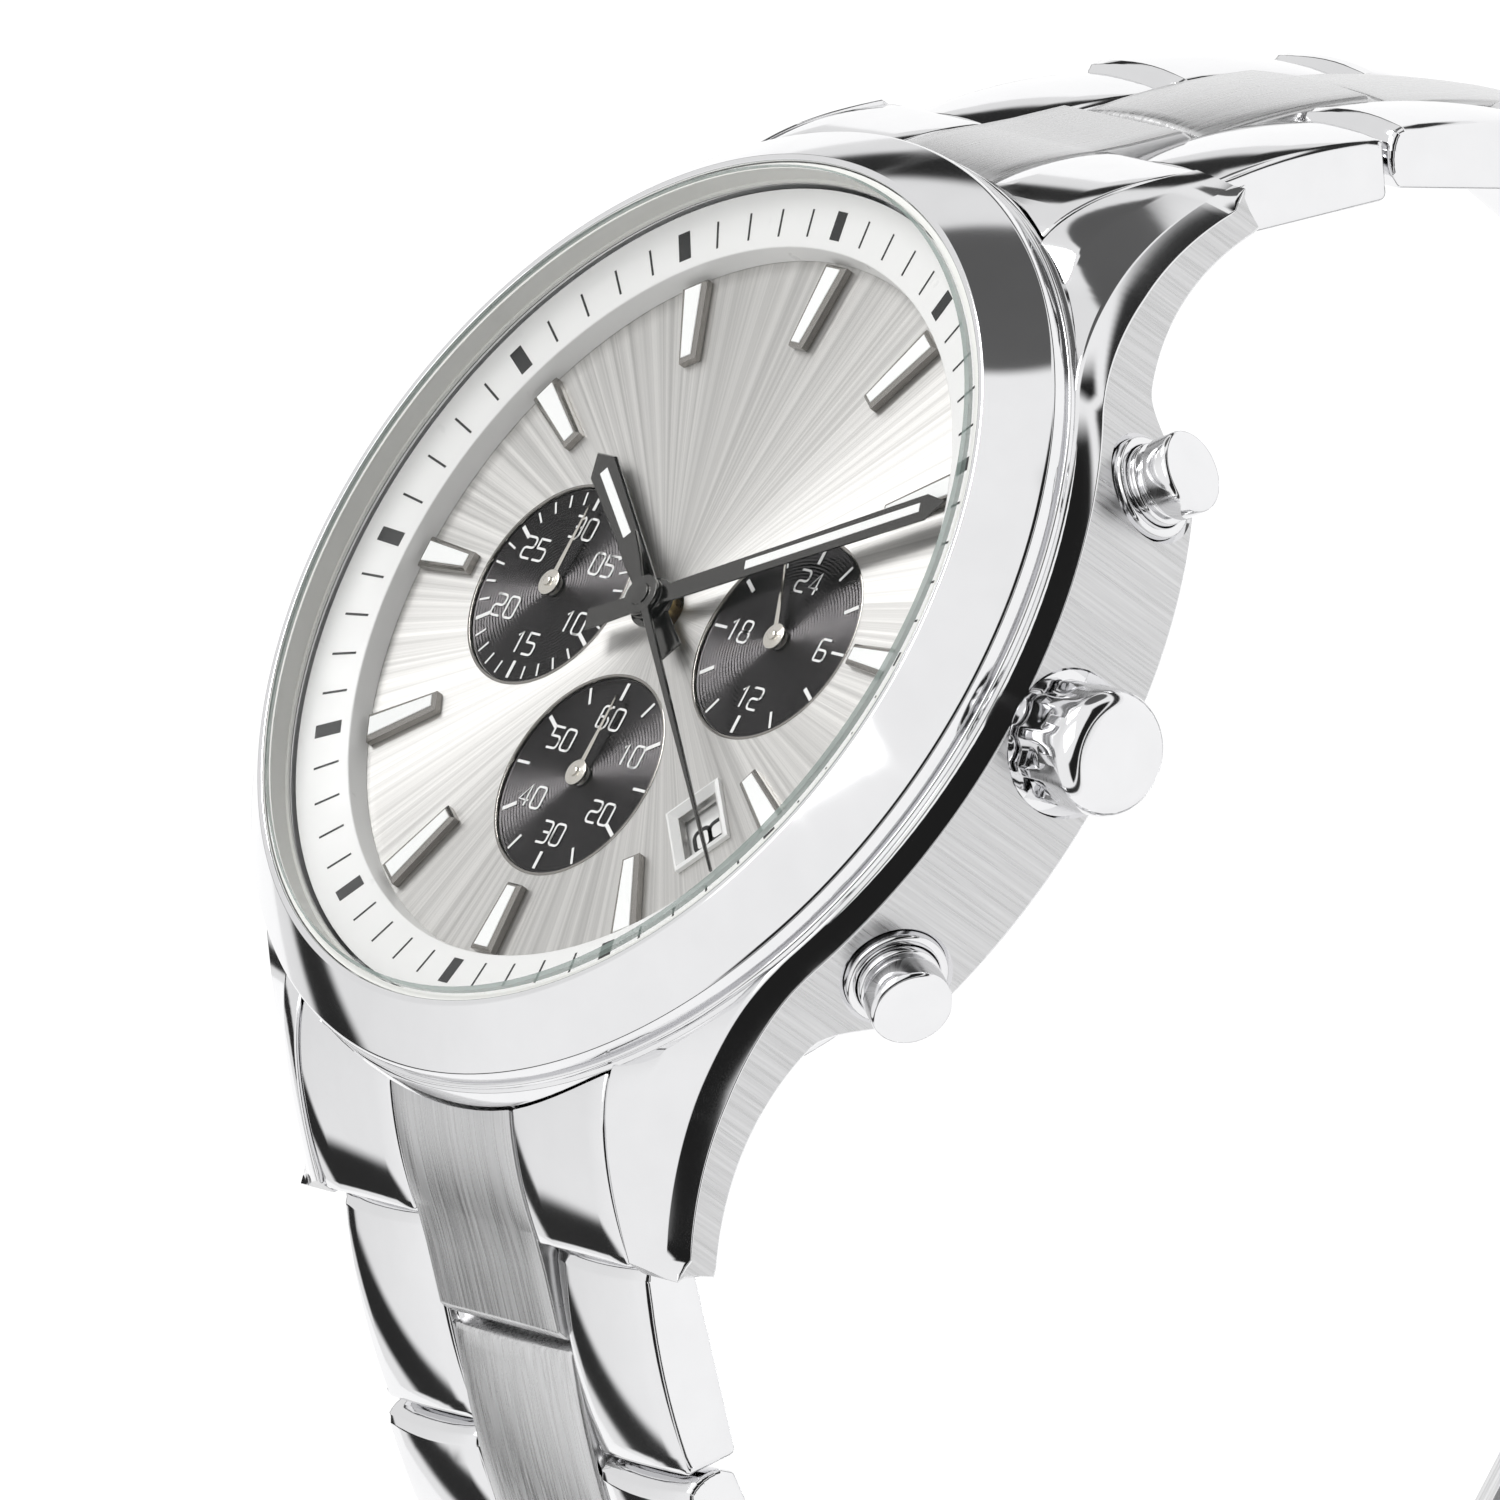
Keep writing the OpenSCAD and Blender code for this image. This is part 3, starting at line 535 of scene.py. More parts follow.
def cut(obj, tools):
    """Cuts the tool meshes out of obj and applies the result."""
    for verts, faces in tools:
        mesh = bpy.data.meshes.new("cutter")
        mesh.from_pydata([tuple(c * MM for c in v) for v in verts], [], faces)
        bm = bmesh.new()
        bm.from_mesh(mesh)
        bmesh.ops.recalc_face_normals(bm, faces=bm.faces)
        bm.to_mesh(mesh)
        bm.free()
        mesh.materials.append(POLISHED)
        tool = bpy.data.objects.new("cutter", mesh)
        bpy.context.collection.objects.link(tool)
        mod = obj.modifiers.new("cut", "BOOLEAN")
        mod.operation = "DIFFERENCE"
        mod.solver = "EXACT"
        mod.use_self = True
        mod.object = tool
        deps = bpy.context.evaluated_depsgraph_get()
        done = bpy.data.meshes.new_from_object(obj.evaluated_get(deps))
        obj.modifiers.clear()
        obj.data = done
        bpy.data.objects.remove(tool)
    obj.data.polygons.foreach_set("use_smooth", [True] * len(obj.data.polygons))
    obj.data.set_sharp_from_angle(angle=math.radians(30))


def recess(deg, r, floor):
    """A countersunk hole in the flank, as a cutter."""
    verts, faces = lathe([(0, floor), (r, floor), (r, CASE_R - 0.25), (r + 0.5, CASE_R + 0.25),
                          (r + 0.5, CASE_R + 4), (0, CASE_R + 4)], 96)
    turn = Matrix.Translation((0, 0, STEM_Z)) @ Matrix.Rotation(math.radians(deg), 4, "Z") @ ALONG_X
    return [tuple(turn @ Vector(v)) for v in verts], faces


def build_case():
    shape = Shape()
    for side in (1, -1):
        verts, faces = loft(case_rows(side))
        marks = []
        for f in faces:
            pts = [Vector(verts[i]) for i in f]
            normal = (pts[1] - pts[0]).cross(pts[2] - pts[0])
            normal = normal.normalized() if normal.length else Vector((0, 0, 1))
            flat = abs(normal.z) < 0.12 and abs(pts[0].x) > abs(lug_x(pts[0].y)) - 0.05 and len(f) == 4
            marks.append(1 if flat or len(f) > 4 else 0)
        shape.add(verts, faces, marks)
    obj = shape.make("case_flanks_and_lugs", [POLISHED, FLANK], "case", ("case_middle",), "steel_polished")
    pusher_wells = [recess(s * PUSHER_DEG, COLLAR_R + 0.03, PUSHER_WELL_X) for s in (1, -1)]
    cut(obj, [recess(0, CROWN_R + 0.35, CROWN_WELL_X)] + pusher_wells)
    body = lathe(rounded([
        (BODY_BORE, CASE_LOW), (18.1, CASE_LOW), (18.2, CASE_LOW + 1), (BODY_R, ARCH_Z),
        (BODY_R, CASE_TOP - 0.15), (BODY_R - 0.15, CASE_TOP), (BODY_BORE, CASE_TOP)
    ], 0.08, 2), 192, closed=True)
    obj = Shape().add(*body).make("case_body", [POLISHED], "case", (), "steel_polished")
    cut(obj, pusher_wells)


def build_bezel():
    z = CASE_TOP
    ledge = CRYSTAL_R - 0.13
    profile = rounded([
        (ledge, z + 0.03), (BEZEL_R + 0.08, z + 0.03, 0.05), (BEZEL_R + 0.1, z + 0.3, 0.1),
        (BEZEL_R - 0.3, z + 0.34, 0.03), (BEZEL_R - 0.3, z + 0.47, 0.03), (BEZEL_R, z + 0.52, 0.08),
        (BEZEL_R, z + 1.1, 0.35), (CRYSTAL_R + 0.55, CRYSTAL_TOP - 0.3, 0.15),
        (CRYSTAL_R + 0.3, CRYSTAL_TOP - 0.3, 0.05), (CRYSTAL_R + 0.3, CRYSTAL_LOW - 0.17, 0),
        (ledge, CRYSTAL_LOW - 0.17, 0)
    ], 0.08, 4)
    Shape().add(*lathe(profile, 256, closed=True)).make("bezel_ring", [POLISHED], "case", ("bezel",),
                                                        "steel_polished")


def build_crystal():
    b = 0.12
    r, top, low = CRYSTAL_R, CRYSTAL_TOP, CRYSTAL_LOW
    profile = [(0, low), (r - b, low), (r, low + b), (r, top - 0.35), (r, top - b), (r - b, top), (0, top)]
    verts, faces = lathe(profile, 192)
    marks = []
    for f in faces:
        high = max(verts[i][2] for i in f) > top - 0.3
        outer = min(math.hypot(*verts[i][:2]) for i in f) > r - 0.2
        marks.append(1 if high and outer else 0)
    Shape().add(verts, faces, marks).make("crystal_disc", [CLEAR, GREEN_EDGE], "case", ("crystal",),
                                          "crystal_glass")


def build_back():
    profile = rounded([
        (0, 0, 0), (15.2, 0, 0.05), (15.3, 0.18, 0.05), (15.9, 0.18, 0.05), (16.0, 0.02, 0.05),
        (17.4, 0.02, 0.2), (17.85, 0.45, 0.1), (17.85, 0.88, 0), (0, 0.88, 0)
    ], 0.05, 2, closed=False)
    back = Shape().add(*lathe(profile, 192))
    verts, faces = back.verts, back.faces
    back.marks = [1 if all(math.hypot(verts[i][0], verts[i][1]) < 15.25 for i in f) else 0 for f in faces]
    obj = back.make("case_back_plate", [POLISHED, GRAIN_X], "case", ("case_back",), "steel_polished")
    notches = []
    for k in range(6):
        outline = [(16.1, -0.85), (16.95, -0.85), (16.95, 0.85), (16.1, 0.85)]
        v, f = prism(outline, -1, 0.35)
        turn = Matrix.Rotation(math.radians(60 * k), 4, "Z")
        notches.append(([tuple(turn @ Vector(p)) for p in v], f))
    cut(obj, notches)


# ---------------------------------------------------------------- dial
def clock_points(points, deg, r):
    """Moves (x, y) points of a tangent frame to a clock angle and radius."""
    a = math.radians(deg)
    c, s = math.cos(a), math.sin(a)
    return [(x * c + (y + r) * s, -x * s + (y + r) * c) for x, y in points]


def rectangle(half_x, half_y):
    return [(-half_x, -half_y), (half_x, -half_y), (half_x, half_y), (-half_x, half_y)]


def build_track():
    top_in, top_out = 0.95, 1.4
    out_r = CRYSTAL_R - 0.25
    profile = rounded([
        (TRACK_R, DIAL_Z + 0.02, 0), (TRACK_R + 0.12, DIAL_Z + top_in, 0.08),
        (out_r, DIAL_Z + top_out, 0), (out_r, DIAL_Z + 0.02, 0)
    ], 0, 3)
    Shape().add(*lathe(profile, 256, closed=True)).make("minute_ring", [WHITE], "case",
                                                        ("minute_track_ring",), "track_white")
    slope = (top_out - top_in) / (out_r - TRACK_R - 0.12)
    ticks = Shape()
    for k in range(60):
        bold = k % 5 == 0
        w, r0, r1 = (0.6, 15.95, 17.1) if bold else (0.1, 15.95, 17.05)
        pts = clock_points([(-w / 2, r0), (w / 2, r0), (w / 2, r1), (-w / 2, r1)], 6 * k, 0)
        verts, faces = prism(pts, 0, 0.012)
        base = DIAL_Z + top_in
        verts = [(x, y, z + base + slope * (math.hypot(x, y) - TRACK_R - 0.12)) for x, y, z in verts]
        ticks.add(verts, faces)
    ticks.make("minute_ring_ticks", [PRINT_BLACK], "case", (), "track_white")


def build_dial():
    dial = Shape().add(*lathe([(0, DIAL_Z - 0.4), (17.2, DIAL_Z - 0.4), (17.2, DIAL_Z), (0, DIAL_Z)], 256))
    obj = dial.make("dial_plate", [DIAL], "case", ("dial",), "dial_silver")
    cuts = []
    for deg in (90, 180, 270):
        x, y = SMALL_D * math.sin(math.radians(deg)), SMALL_D * math.cos(math.radians(deg))
        verts, faces = lathe([(0, DIAL_Z - SMALL_DROP), (SMALL_R, DIAL_Z - SMALL_DROP), (SMALL_R, DIAL_Z + 1),
                              (0, DIAL_Z + 1)], 128)
        cuts.append(([(a + x, b + y, c) for a, b, c in verts], faces))
    window = clock_points(rectangle(*DATE_WINDOW), DATE_DEG, DATE_R)
    verts, faces = prism(window, DIAL_Z - 1, DIAL_Z + 1)
    cuts.append((verts, faces))
    verts, faces = lathe([(0, DIAL_Z - 1), (1.0, DIAL_Z - 1), (1.0, DIAL_Z + 1), (0, DIAL_Z + 1)], 48)
    cuts.append((verts, faces))
    cut(obj, cuts)
    for m in range(len(obj.data.materials)):
        obj.data.materials[m] = DIAL


def ribbon(points, w, loop=False):
    """A flat stroke of width w along the points, as (x, y) quads."""
    n = len(points)
    left, right = [], []
    for i in range(n):
        a = Vector(points[i - 1] if i or loop else points[0])
        b = Vector(points[(i + 1) % n] if i < n - 1 or loop else points[-1])
        d = (b - a).normalized()
        m = Vector((-d.y, d.x)) * w / 2
        p = Vector(points[i])
        left.append(tuple(p + m))
        right.append(tuple(p - m))
    quads = [(left[i], right[i], right[(i + 1) % n], left[(i + 1) % n]) for i in range(n if loop else n - 1)]
    return quads


# Strokes of each digit in a cell 1 wide and 1.6 high; a stroke is (points, is it a loop)
def digit_strokes(d):
    w, h, r = 1.0, 1.6, 0.28
    box = rounded([(0, 0), (w, 0), (w, h), (0, h)], r, 4)
    mid = h / 2
    if d == "0":
        return [(box, True)]
    if d == "1":
        return [([(0.25, h - 0.35), (0.6, h), (0.6, 0)], False)]
    if d == "2":
        top = rounded([(0, h - 0.1), (0, h), (w, h), (w, mid), (0, mid), (0, 0), (w, 0)], r, 4, False)
        return [(top, False)]
    if d == "3":
        outer = rounded([(0, h), (w, h), (w, 0), (0, 0)], r, 4, False)
        return [(outer, False), ([(0.3, mid), (w, mid)], False)]
    if d == "4":
        return [([(0.75, 0), (0.75, h), (0, 0.45), (w, 0.45)], False)]
    if d == "5":
        return [(rounded([(w, h), (0, h, 0.02), (0, mid + 0.1, 0.02), (w, mid + 0.1), (w, 0), (0, 0)], r, 4,
                         False), False)]
    if d == "6":
        return [(rounded([(w, h), (0, h), (0, 0.3), (0, 0), (w, 0), (w, mid), (0, mid)], r, 4, False), False)]
    if d == "7":
        return [([(0, h), (w, h), (0.4, 0)], False)]
    if d == "8":
        low = rounded([(0, 0), (w, 0), (w, mid), (0, mid)], r, 4)
        high = rounded([(0.06, mid), (w - 0.06, mid), (w - 0.06, h), (0.06, h)], r, 4)
        return [(low, True), (high, True)]
    return [(rounded([(0, 0), (w, 0), (w, h), (0, h), (0, mid), (w, mid)], r, 4, False), False)]


def number(shape, text, x, y, size, z, stroke=0.16, turn=0, mark=0):
    """Adds a number centred on (x, y), size high, turned clockwise."""
    k = size / 1.6
    step = 1.38
    width = (len(text) - 1) * step + 1
    c, s = math.cos(-math.radians(turn)), math.sin(-math.radians(turn))
    for n, d in enumerate(text):
        for points, loop in digit_strokes(d):
            pts = [((px + n * step - width / 2) * k, (py - 0.8) * k) for px, py in points]
            for quad in ribbon(pts, stroke * k, loop):
                q = [(x + a * c - b * s, y + a * s + b * c, z) for a, b in quad]
                top = [(a, b, z + 0.01) for a, b, _ in q]
                shape.add(q + top, [(0, 1, 2, 3), (4, 5, 6, 7), (0, 1, 5, 4), (1, 2, 6, 5), (2, 3, 7, 6),
                                    (3, 0, 4, 7)], mark)


# Each small dial's clock angle, ticks, step of its bold ticks, and numbers by angle
SMALL_DIALS = {
    "minute_counter": (270, 30, 5, [
        (60, "05"), (120, "10"), (180, "15"), (240, "20"), (300, "25"), (0, "30")
    ]),
    "small_seconds": (180, 12, 1, [
        (60, "10"), (120, "20"), (180, "30"), (240, "40"), (300, "50"), (0, "60")
    ]),
    "hours": (90, 12, 1, [(90, "6"), (180, "12"), (270, "18"), (0, "24")]),
}


def build_small_dials():
    floor = DIAL_Z - SMALL_DROP
    grooves, rims, prints = Shape(), Shape(), Shape()
    pitch, depth = 0.15, 0.022
    rings = int((SMALL_R - 0.35) / pitch)
    profile = [(0.4, floor + 0.02)]
    for k in range(1, rings):
        r = 0.4 + pitch * k
        profile += [(r - pitch * 0.5, floor + 0.02 + depth), (r, floor + 0.02)]
    profile += [(SMALL_R - 0.12, floor + 0.04), (SMALL_R - 0.1, floor + 0.005), (0.4, floor + 0.005)]
    for deg, ticks, bold, labels in SMALL_DIALS.values():
        x, y = SMALL_D * math.sin(math.radians(deg)), SMALL_D * math.cos(math.radians(deg))
        shift = Matrix.Translation((x, y, 0))
        grooves.add(*lathe(profile, 128, closed=True), 0, shift)
        rims.add(*lathe(rounded([(SMALL_R - 0.1, floor + 0.01), (SMALL_R + 0.02, floor + 0.01),
                                 (SMALL_R + 0.06, DIAL_Z + 0.03), (SMALL_R - 0.06, DIAL_Z + 0.03)], 0.02, 2),
                        128, closed=True), 0, shift)
        for k in range(ticks):
            is_bold = k % bold == 0
            w, r0 = (0.17, SMALL_R - 1.0) if is_bold else (0.09, SMALL_R - 0.8)
            if ticks == 12:
                w = 0.17 if k % 2 == 0 else 0.12
                r0 = SMALL_R - 1.0
            pts = clock_points([(-w / 2, r0), (w / 2, r0), (w / 2, SMALL_R - 0.25), (-w / 2, SMALL_R - 0.25)],
                               360 * k / ticks, 0)
            verts, faces = prism(pts, floor + 0.045, floor + 0.055)
            prints.add(verts, faces, 0, shift)
        for a, text in labels:
            r = 2.55 if len(text) > 1 else 2.75
            number(prints, text, x + r * math.sin(math.radians(a)), y + r * math.cos(math.radians(a)), 0.92,
                   floor + 0.048, 0.17)
    grooves.make("small_dial_grooves", [GREY], "case", ("subdial_plates",), "subdial_grey", sharp=10)
    rims.make("small_dial_rims", [MARKER_STEEL], "case", (), "marker_steel")
    prints.make("small_dial_print", [PRINT_WHITE], "case", (), "subdial_grey")


def build_markers():
    shape = Shape()
    out, w = MARKER_OUT, MARKER_W
    for h in range(12):
        r0 = 12.25 if h in (3, 6, 9) else 11.6
        z0, z1 = DIAL_Z + 0.02, DIAL_Z + 0.43
        outline = clock_points([(-w * 0.33, r0), (w * 0.33, r0), (w * 0.5, out), (-w * 0.5, out)], 30 * h, 0)
        shape.add(*prism(outline, z0, z1, 0.1), 0)
        strip = clock_points([(-w * 0.2, r0 + 0.16), (w * 0.2, r0 + 0.16), (w * 0.33, out - 0.16),
                              (-w * 0.33, out - 0.16)], 30 * h, 0)
        shape.add(*prism(strip, z1 - 0.02, z1 + 0.03, 0.02), 1)
    shape.make("applied_markers", [MARKER_STEEL, LUME], "case", ("hour_markers",), "marker_steel")


def build_date():
    z = DIAL_Z + 0.02
    outer = clock_points(rectangle(*DATE_FRAME), DATE_DEG, DATE_R)
    inner = clock_points(rectangle(*DATE_WINDOW), DATE_DEG, DATE_R)
    ridge = [((a[0] + 2 * b[0]) / 3, (a[1] + 2 * b[1]) / 3) for a, b in zip(inner, outer)]
    loops = [[(x, y, z) for x, y in outer], [(x, y, z + 0.2) for x, y in outer],
             [(x, y, z + 0.26) for x, y in ridge], [(x, y, z - 0.05) for x, y in inner],
             [(x, y, z - 0.3) for x, y in inner]]
    verts = [p for loop in loops for p in loop]
    faces = [(r * 4 + i, r * 4 + (i + 1) % 4, ((r + 1) % 5) * 4 + (i + 1) % 4, ((r + 1) % 5) * 4 + i)
             for r in range(5) for i in range(4)]
    Shape().add(verts, faces).make("date_surround", [WHITE], "case", ("date_frame",), "track_white", sharp=20)
    top = top_of("date_disc")
    section = [(9.9, top - 0.15), (13.5, top - 0.15), (13.5, top), (9.9, top)]
    disc = Shape().add(*lathe(section, 192, closed=True), 0)
    for day in range(31):
        deg = DATE_DEG + 360 / 31 * (day + 1 - DATE_SHOWN)
        a = math.radians(deg)
        text = str(day + 1)
        number(disc, text, DATE_R * math.sin(a), DATE_R * math.cos(a), 1.55 if len(text) == 1 else 1.2,
               top + 0.004, 0.2, deg - 90, 1)
    disc.make("date_numbers", [PRINT_WHITE, PRINT_BLACK], "date", ("date_disc",), "date_white")


# ---------------------------------------------------------------- hands
def window_hand(name, body, node, deg, z, length, tail, w0, w1, tip, hub, lume):
    """A baton with a point, a raised rim and a lume window."""
    shape = Shape()
    t = HAND_T
    outline = [(-w0 / 2, -tail), (w0 / 2, -tail), (w0 * 0.42, 0), (w1 / 2, length - tip), (0, length),
               (-w1 / 2, length - tip), (-w0 * 0.42, 0)]
    turn = spin_z(deg)
    shape.add(*prism(outline, z, z + t, 0.07), 0, turn)
    a, b = lume
    wa = wb = 0.2
    window = [(-wa, a), (wa, a), (wb, b), (-wb, b)]
    shape.add(*prism(window, z + t - 0.02, z + t + 0.02, 0.01), 1, turn)
    cap = [(0, z - 0.02, 0), (hub, z - 0.02), (hub, z + t + 0.05), (0, z + t + 0.05, 0)]
    shape.add(*lathe(rounded(cap, 0.04, 3, False), 64), 0)
    shape.make(name, [DARK_STEEL, LUME], body, (node,), "hand_steel", sharp=18)


def build_hands():
    hour_z, minute_z, chrono_z = low_of("hour_hand"), low_of("minute_hand"), DIAL_Z + 1.3
    window_hand("hour_hand_steel", "hour", "hour_hand", HOUR_DEG, hour_z, HOUR_LEN, tail=3.0, w0=1.05, w1=1.4,
                tip=0.95, hub=1.05, lume=(3.4, 8.2))
    window_hand("minute_hand_steel", "minute", "minute_hand", MINUTE_DEG, minute_z, MINUTE_LEN, tail=3.2,
                w0=0.95, w1=1.15, tip=0.95, hub=0.85, lume=(5.2, 14.3))
    turn = spin_z(CHRONO_DEG)
    shape = Shape()
    shape.add(*prism([(-0.2, -0.3), (0.2, -0.3), (0.05, CHRONO_LEN), (-0.05, CHRONO_LEN)],
                     chrono_z, chrono_z + 0.13, 0.03), 0, turn)
    paddle = rounded([(-0.16, 0), (-0.42, -2.0), (-0.5, -3.4), (0.5, -3.4), (0.42, -2.0), (0.16, 0)], 0.12, 3)
    shape.add(*prism(paddle, chrono_z, chrono_z + 0.13, 0.04), 0, turn)
    top = chrono_z + 0.13
    cap = rounded([(0, chrono_z - 0.02, 0), (0.85, chrono_z - 0.02), (0.85, top + 0.02), (0.5, top + 0.02),
                   (0.46, top + 0.12), (0, top + 0.14, 0)], 0.03, 3, False)
    shape.add(*lathe(cap, 64), 0)
    shape.add(*lathe([(0, chrono_z - 4), (0.16, chrono_z - 4), (0.16, chrono_z), (0, chrono_z)], 32), 0)
    shape.make("chrono_seconds_steel", [DARK_STEEL], "chrono_seconds", ("chrono_seconds_hand",), "hand_steel",
               sharp=25)
    z = DIAL_Z + 0.12
    for body, node, place, turn in (("small_seconds", "small_seconds_hand", 180, 0),
                                    ("minute_counter", "minute_counter_hand", 270, 0),
                                    ("hour24", "hour24_hand", 90, HOUR24_DEG)):
        a = math.radians(place)
        move = Matrix.Translation((SMALL_D * math.sin(a), SMALL_D * math.cos(a), 0)) @ spin_z(turn)
        shape = Shape()
        shape.add(*prism([(-0.13, -0.5), (0.13, -0.5), (0.13, 0), (0.04, SMALL_LEN - 0.2), (0, SMALL_LEN),
                          (-0.04, SMALL_LEN - 0.2), (-0.13, 0)], z, z + 0.1, 0.03), 0, move)
        cap = rounded([(0, z - 0.02, 0), (0.55, z - 0.02), (0.55, z + 0.13), (0.2, z + 0.14), (0.2, z + 0.26),
                       (0, z + 0.28, 0)], 0.03, 3, False)
        shape.add(*lathe(cap, 48), 0, move)
        shape.add(*lathe([(0, z - 2.5), (0.2, z - 2.5), (0.2, z), (0, z)], 32), 0, move)
        shape.make(node + "_steel", [GOLD_STEEL], body, (node,), "small_hand_steel", sharp=25)


# ---------------------------------------------------------------- crown and pushers
def build_crown():
    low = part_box("crown")[0][0] / MM
    r, x = CROWN_R, CROWN_X
    profile = [(1.72, low + 2.2), (1.72, low), (r - 0.35, low), (r - 0.08, low + 0.2), (r, low + 0.45),
               (r, low + 1.1), (r, low + 1.45), (r, low + 1.75), (r, low + 1.85), (r, x - 0.95),
               (r - 0.06, x - 0.7), (r - 0.22, x - 0.42), (r - 0.42, x - 0.24), (r - 0.62, x - 0.16),
               (r * 0.5, x - 0.05), (0, x)]
    depth = [0, 0, 0.16, 0.24, 0.27, 0.27, 0.25, 0.1, 0, 0, 0, 0, 0, 0, 0, 0]
    flutes = 10

    def flute(i, a):
        t = 2 * ((a * flutes / TAU) % 1) - 1
        return depth[i] * max(0, 1 - (t / 0.74) ** 2)

    shape = Shape().add(*lathe(profile, 288, wave=flute), 0, ALONG_X)
    verts, faces = lathe([(0, low + 2.2), (1.72, low + 2.2)], 288)
    shape.add(verts, faces, 0, ALONG_X)
    shape.verts = [(x_, y, z + STEM_Z) for x_, y, z in shape.verts]
    shape.make("crown_head", [POLISHED], "crown_turn", ("crown",), "steel_polished", sharp=40)


def build_pushers():
    collars = Shape()
    for s in (1, -1):
        swing = Matrix.Rotation(math.radians(s * PUSHER_DEG), 4, "Z")
        turn = Matrix.Translation((0, 0, STEM_Z)) @ swing @ ALONG_X
        collar = rounded([(PUSHER_R + 0.04, COLLAR_TOP - 1.8), (COLLAR_R, COLLAR_TOP - 1.8),
                          (COLLAR_R, COLLAR_TOP, 0.15), (PUSHER_R + 0.04, COLLAR_TOP, 0.06)], 0.03, 3)
        collars.add(*lathe(collar, 96, closed=True), 0, turn)
        floor = [(0.6, COLLAR_TOP - 1.8), (PUSHER_R + 0.1, COLLAR_TOP - 1.8),
                 (PUSHER_R + 0.1, COLLAR_TOP - 1.6), (0.6, COLLAR_TOP - 1.6)]
        collars.add(*lathe(floor, 96, closed=True), 0, turn)
        cap = rounded([
            (0, COLLAR_TOP - 0.5, 0), (PUSHER_R, COLLAR_TOP - 0.5), (PUSHER_R, COLLAR_TOP + 0.35, 0.12),
            (PUSHER_R - 0.28, COLLAR_TOP + 0.42, 0.06), (PUSHER_R - 0.28, COLLAR_TOP + 0.66, 0.06),
            (PUSHER_R, COLLAR_TOP + 0.74, 0.12), (PUSHER_R, PUSHER_X, 0.22), (0, PUSHER_X, 0)
        ], 0.04, 4, False)
        shape = Shape().add(*lathe(cap, 96), 0, turn)
        rod_end = COLLAR_TOP - 0.5
        shape.add(*lathe([(0, 15.6), (0.5, 15.6), (0.5, rod_end), (0, rod_end)], 32), 0, turn)
        name = "pusher_2" if s > 0 else "pusher_4"
        body = "pusher_upper" if s > 0 else "pusher_lower"
        shape.make(name + "_cap", [POLISHED], body, (name,), "steel_polished")
    collars.make("pusher_collars", [POLISHED], "case", ("pusher_tubes",), "steel_polished")


# ---------------------------------------------------------------- bracelet
def pivots():
    points = [FIRST]
    for s in SLOPES:
        y, z = points[-1]
        points.append((y + PITCH * math.cos(math.radians(s)), z - PITCH * math.sin(math.radians(s))))
    return points


PIVOTS = pivots()


def side_outline():
    """A side link in its own frame: Y along the bracelet from the pivot, Z outward."""
    h = LINK_T / 2
    front = math.sqrt(ROUND_R ** 2 - h * h)
    start = [(-ROUND_R * math.cos(a), ROUND_R * math.sin(a)) for a in
             (math.asin(h / ROUND_R) * (1 - k / 5) for k in range(11))]
    top_end = PITCH - FACE_T
    crown = [(-front + (top_end + front) * k / 10, h - SIDE_CROWN * (2 * k / 10 - 1) ** 2)
             for k in range(10, -1, -1)]
    crown = [(min(y, top_end), z) for y, z in crown]
    points = [(y, z) for y, z in start if abs(z) < h - 0.35]
    points = points + [(-front + 0.1, -h)] + [(top_end, -h)] + crown
    return rounded([(y, z, 0.35) for y, z in points], 0.3, 3)


def centre_outline():
    h = LINK_T / 2
    start = FACE_T
    back = math.sqrt(ROUND_R ** 2 - h * h)
    end = [(PITCH + ROUND_R * math.cos(a), ROUND_R * math.sin(a)) for a in
           (-math.asin(h / ROUND_R) * (1 - k / 5) for k in range(11))]
    end = [(y, z) for y, z in end if abs(z) < h - 0.35]
    length = PITCH + back - start
    crown = [(PITCH + back - length * k / 10, h - CENTRE_CROWN * (2 * k / 10 - 1) ** 2) for k in range(11)]
    points = [(start, -h), (PITCH + back, -h)] + end + crown
    return rounded([(y, z, 0.3) for y, z in points], 0.3, 3)


def link_place(i, mirror):
    y, z = PIVOTS[i]
    m = Matrix.Translation((0, y * MM, z * MM)) @ Matrix.Rotation(-math.radians(SLOPES[i]), 4, "X")
    return Matrix.Diagonal((1, -1, 1, 1)) @ m @ Matrix.Diagonal((1, -1, 1, 1)) if mirror else m


def build_link(i, side):
    body = f"link_{side}_{i + 1}"
    flip = side == "6"
    shape = Shape()
    k = -1 if flip else 1
    sides = [(y * k, z) for y, z in side_outline()]
    centre = [(y * k, z) for y, z in centre_outline()]
    for s in (-1, 1):
        x0, x1 = sorted((s * (CENTRE_W + 0.1), s * HALF_W))
        shape.add(*slab(sides, x0, x1, 0.3, 0.3, 4, 8), 0)
    shape.add(*slab(centre, -CENTRE_W, CENTRE_W, 0.22, 0.22, 3, 10), 1)
    shape.add(*rod(0.6, -HALF_W + 0.6, HALF_W - 0.6), 2)
    verts, faces = rod(0.6, -HALF_W + 0.6, HALF_W - 0.6)
    shape.add([(x, y + k * PITCH / 2, z) for x, y, z in verts], faces, 2)
    obj = shape.make(body + "_steel", [POLISHED, GRAIN_T, GRAIN_X], body, (body,), "steel_brushed",
                     link_place(i, flip))
    if i == 0:
        hole = [rod(0.75, x0, x0 + 0.8, edge=0.001) for x0 in (-HALF_W - 0.4, HALF_W - 0.4)]
        cut(obj, hole)
        pin = Shape().add(*rod(0.45, -HALF_W + 0.15, HALF_W - 0.15, edge=0.08))
        pin.make(body + "_pin", [POLISHED], body, (), "steel_brushed", link_place(i, flip))


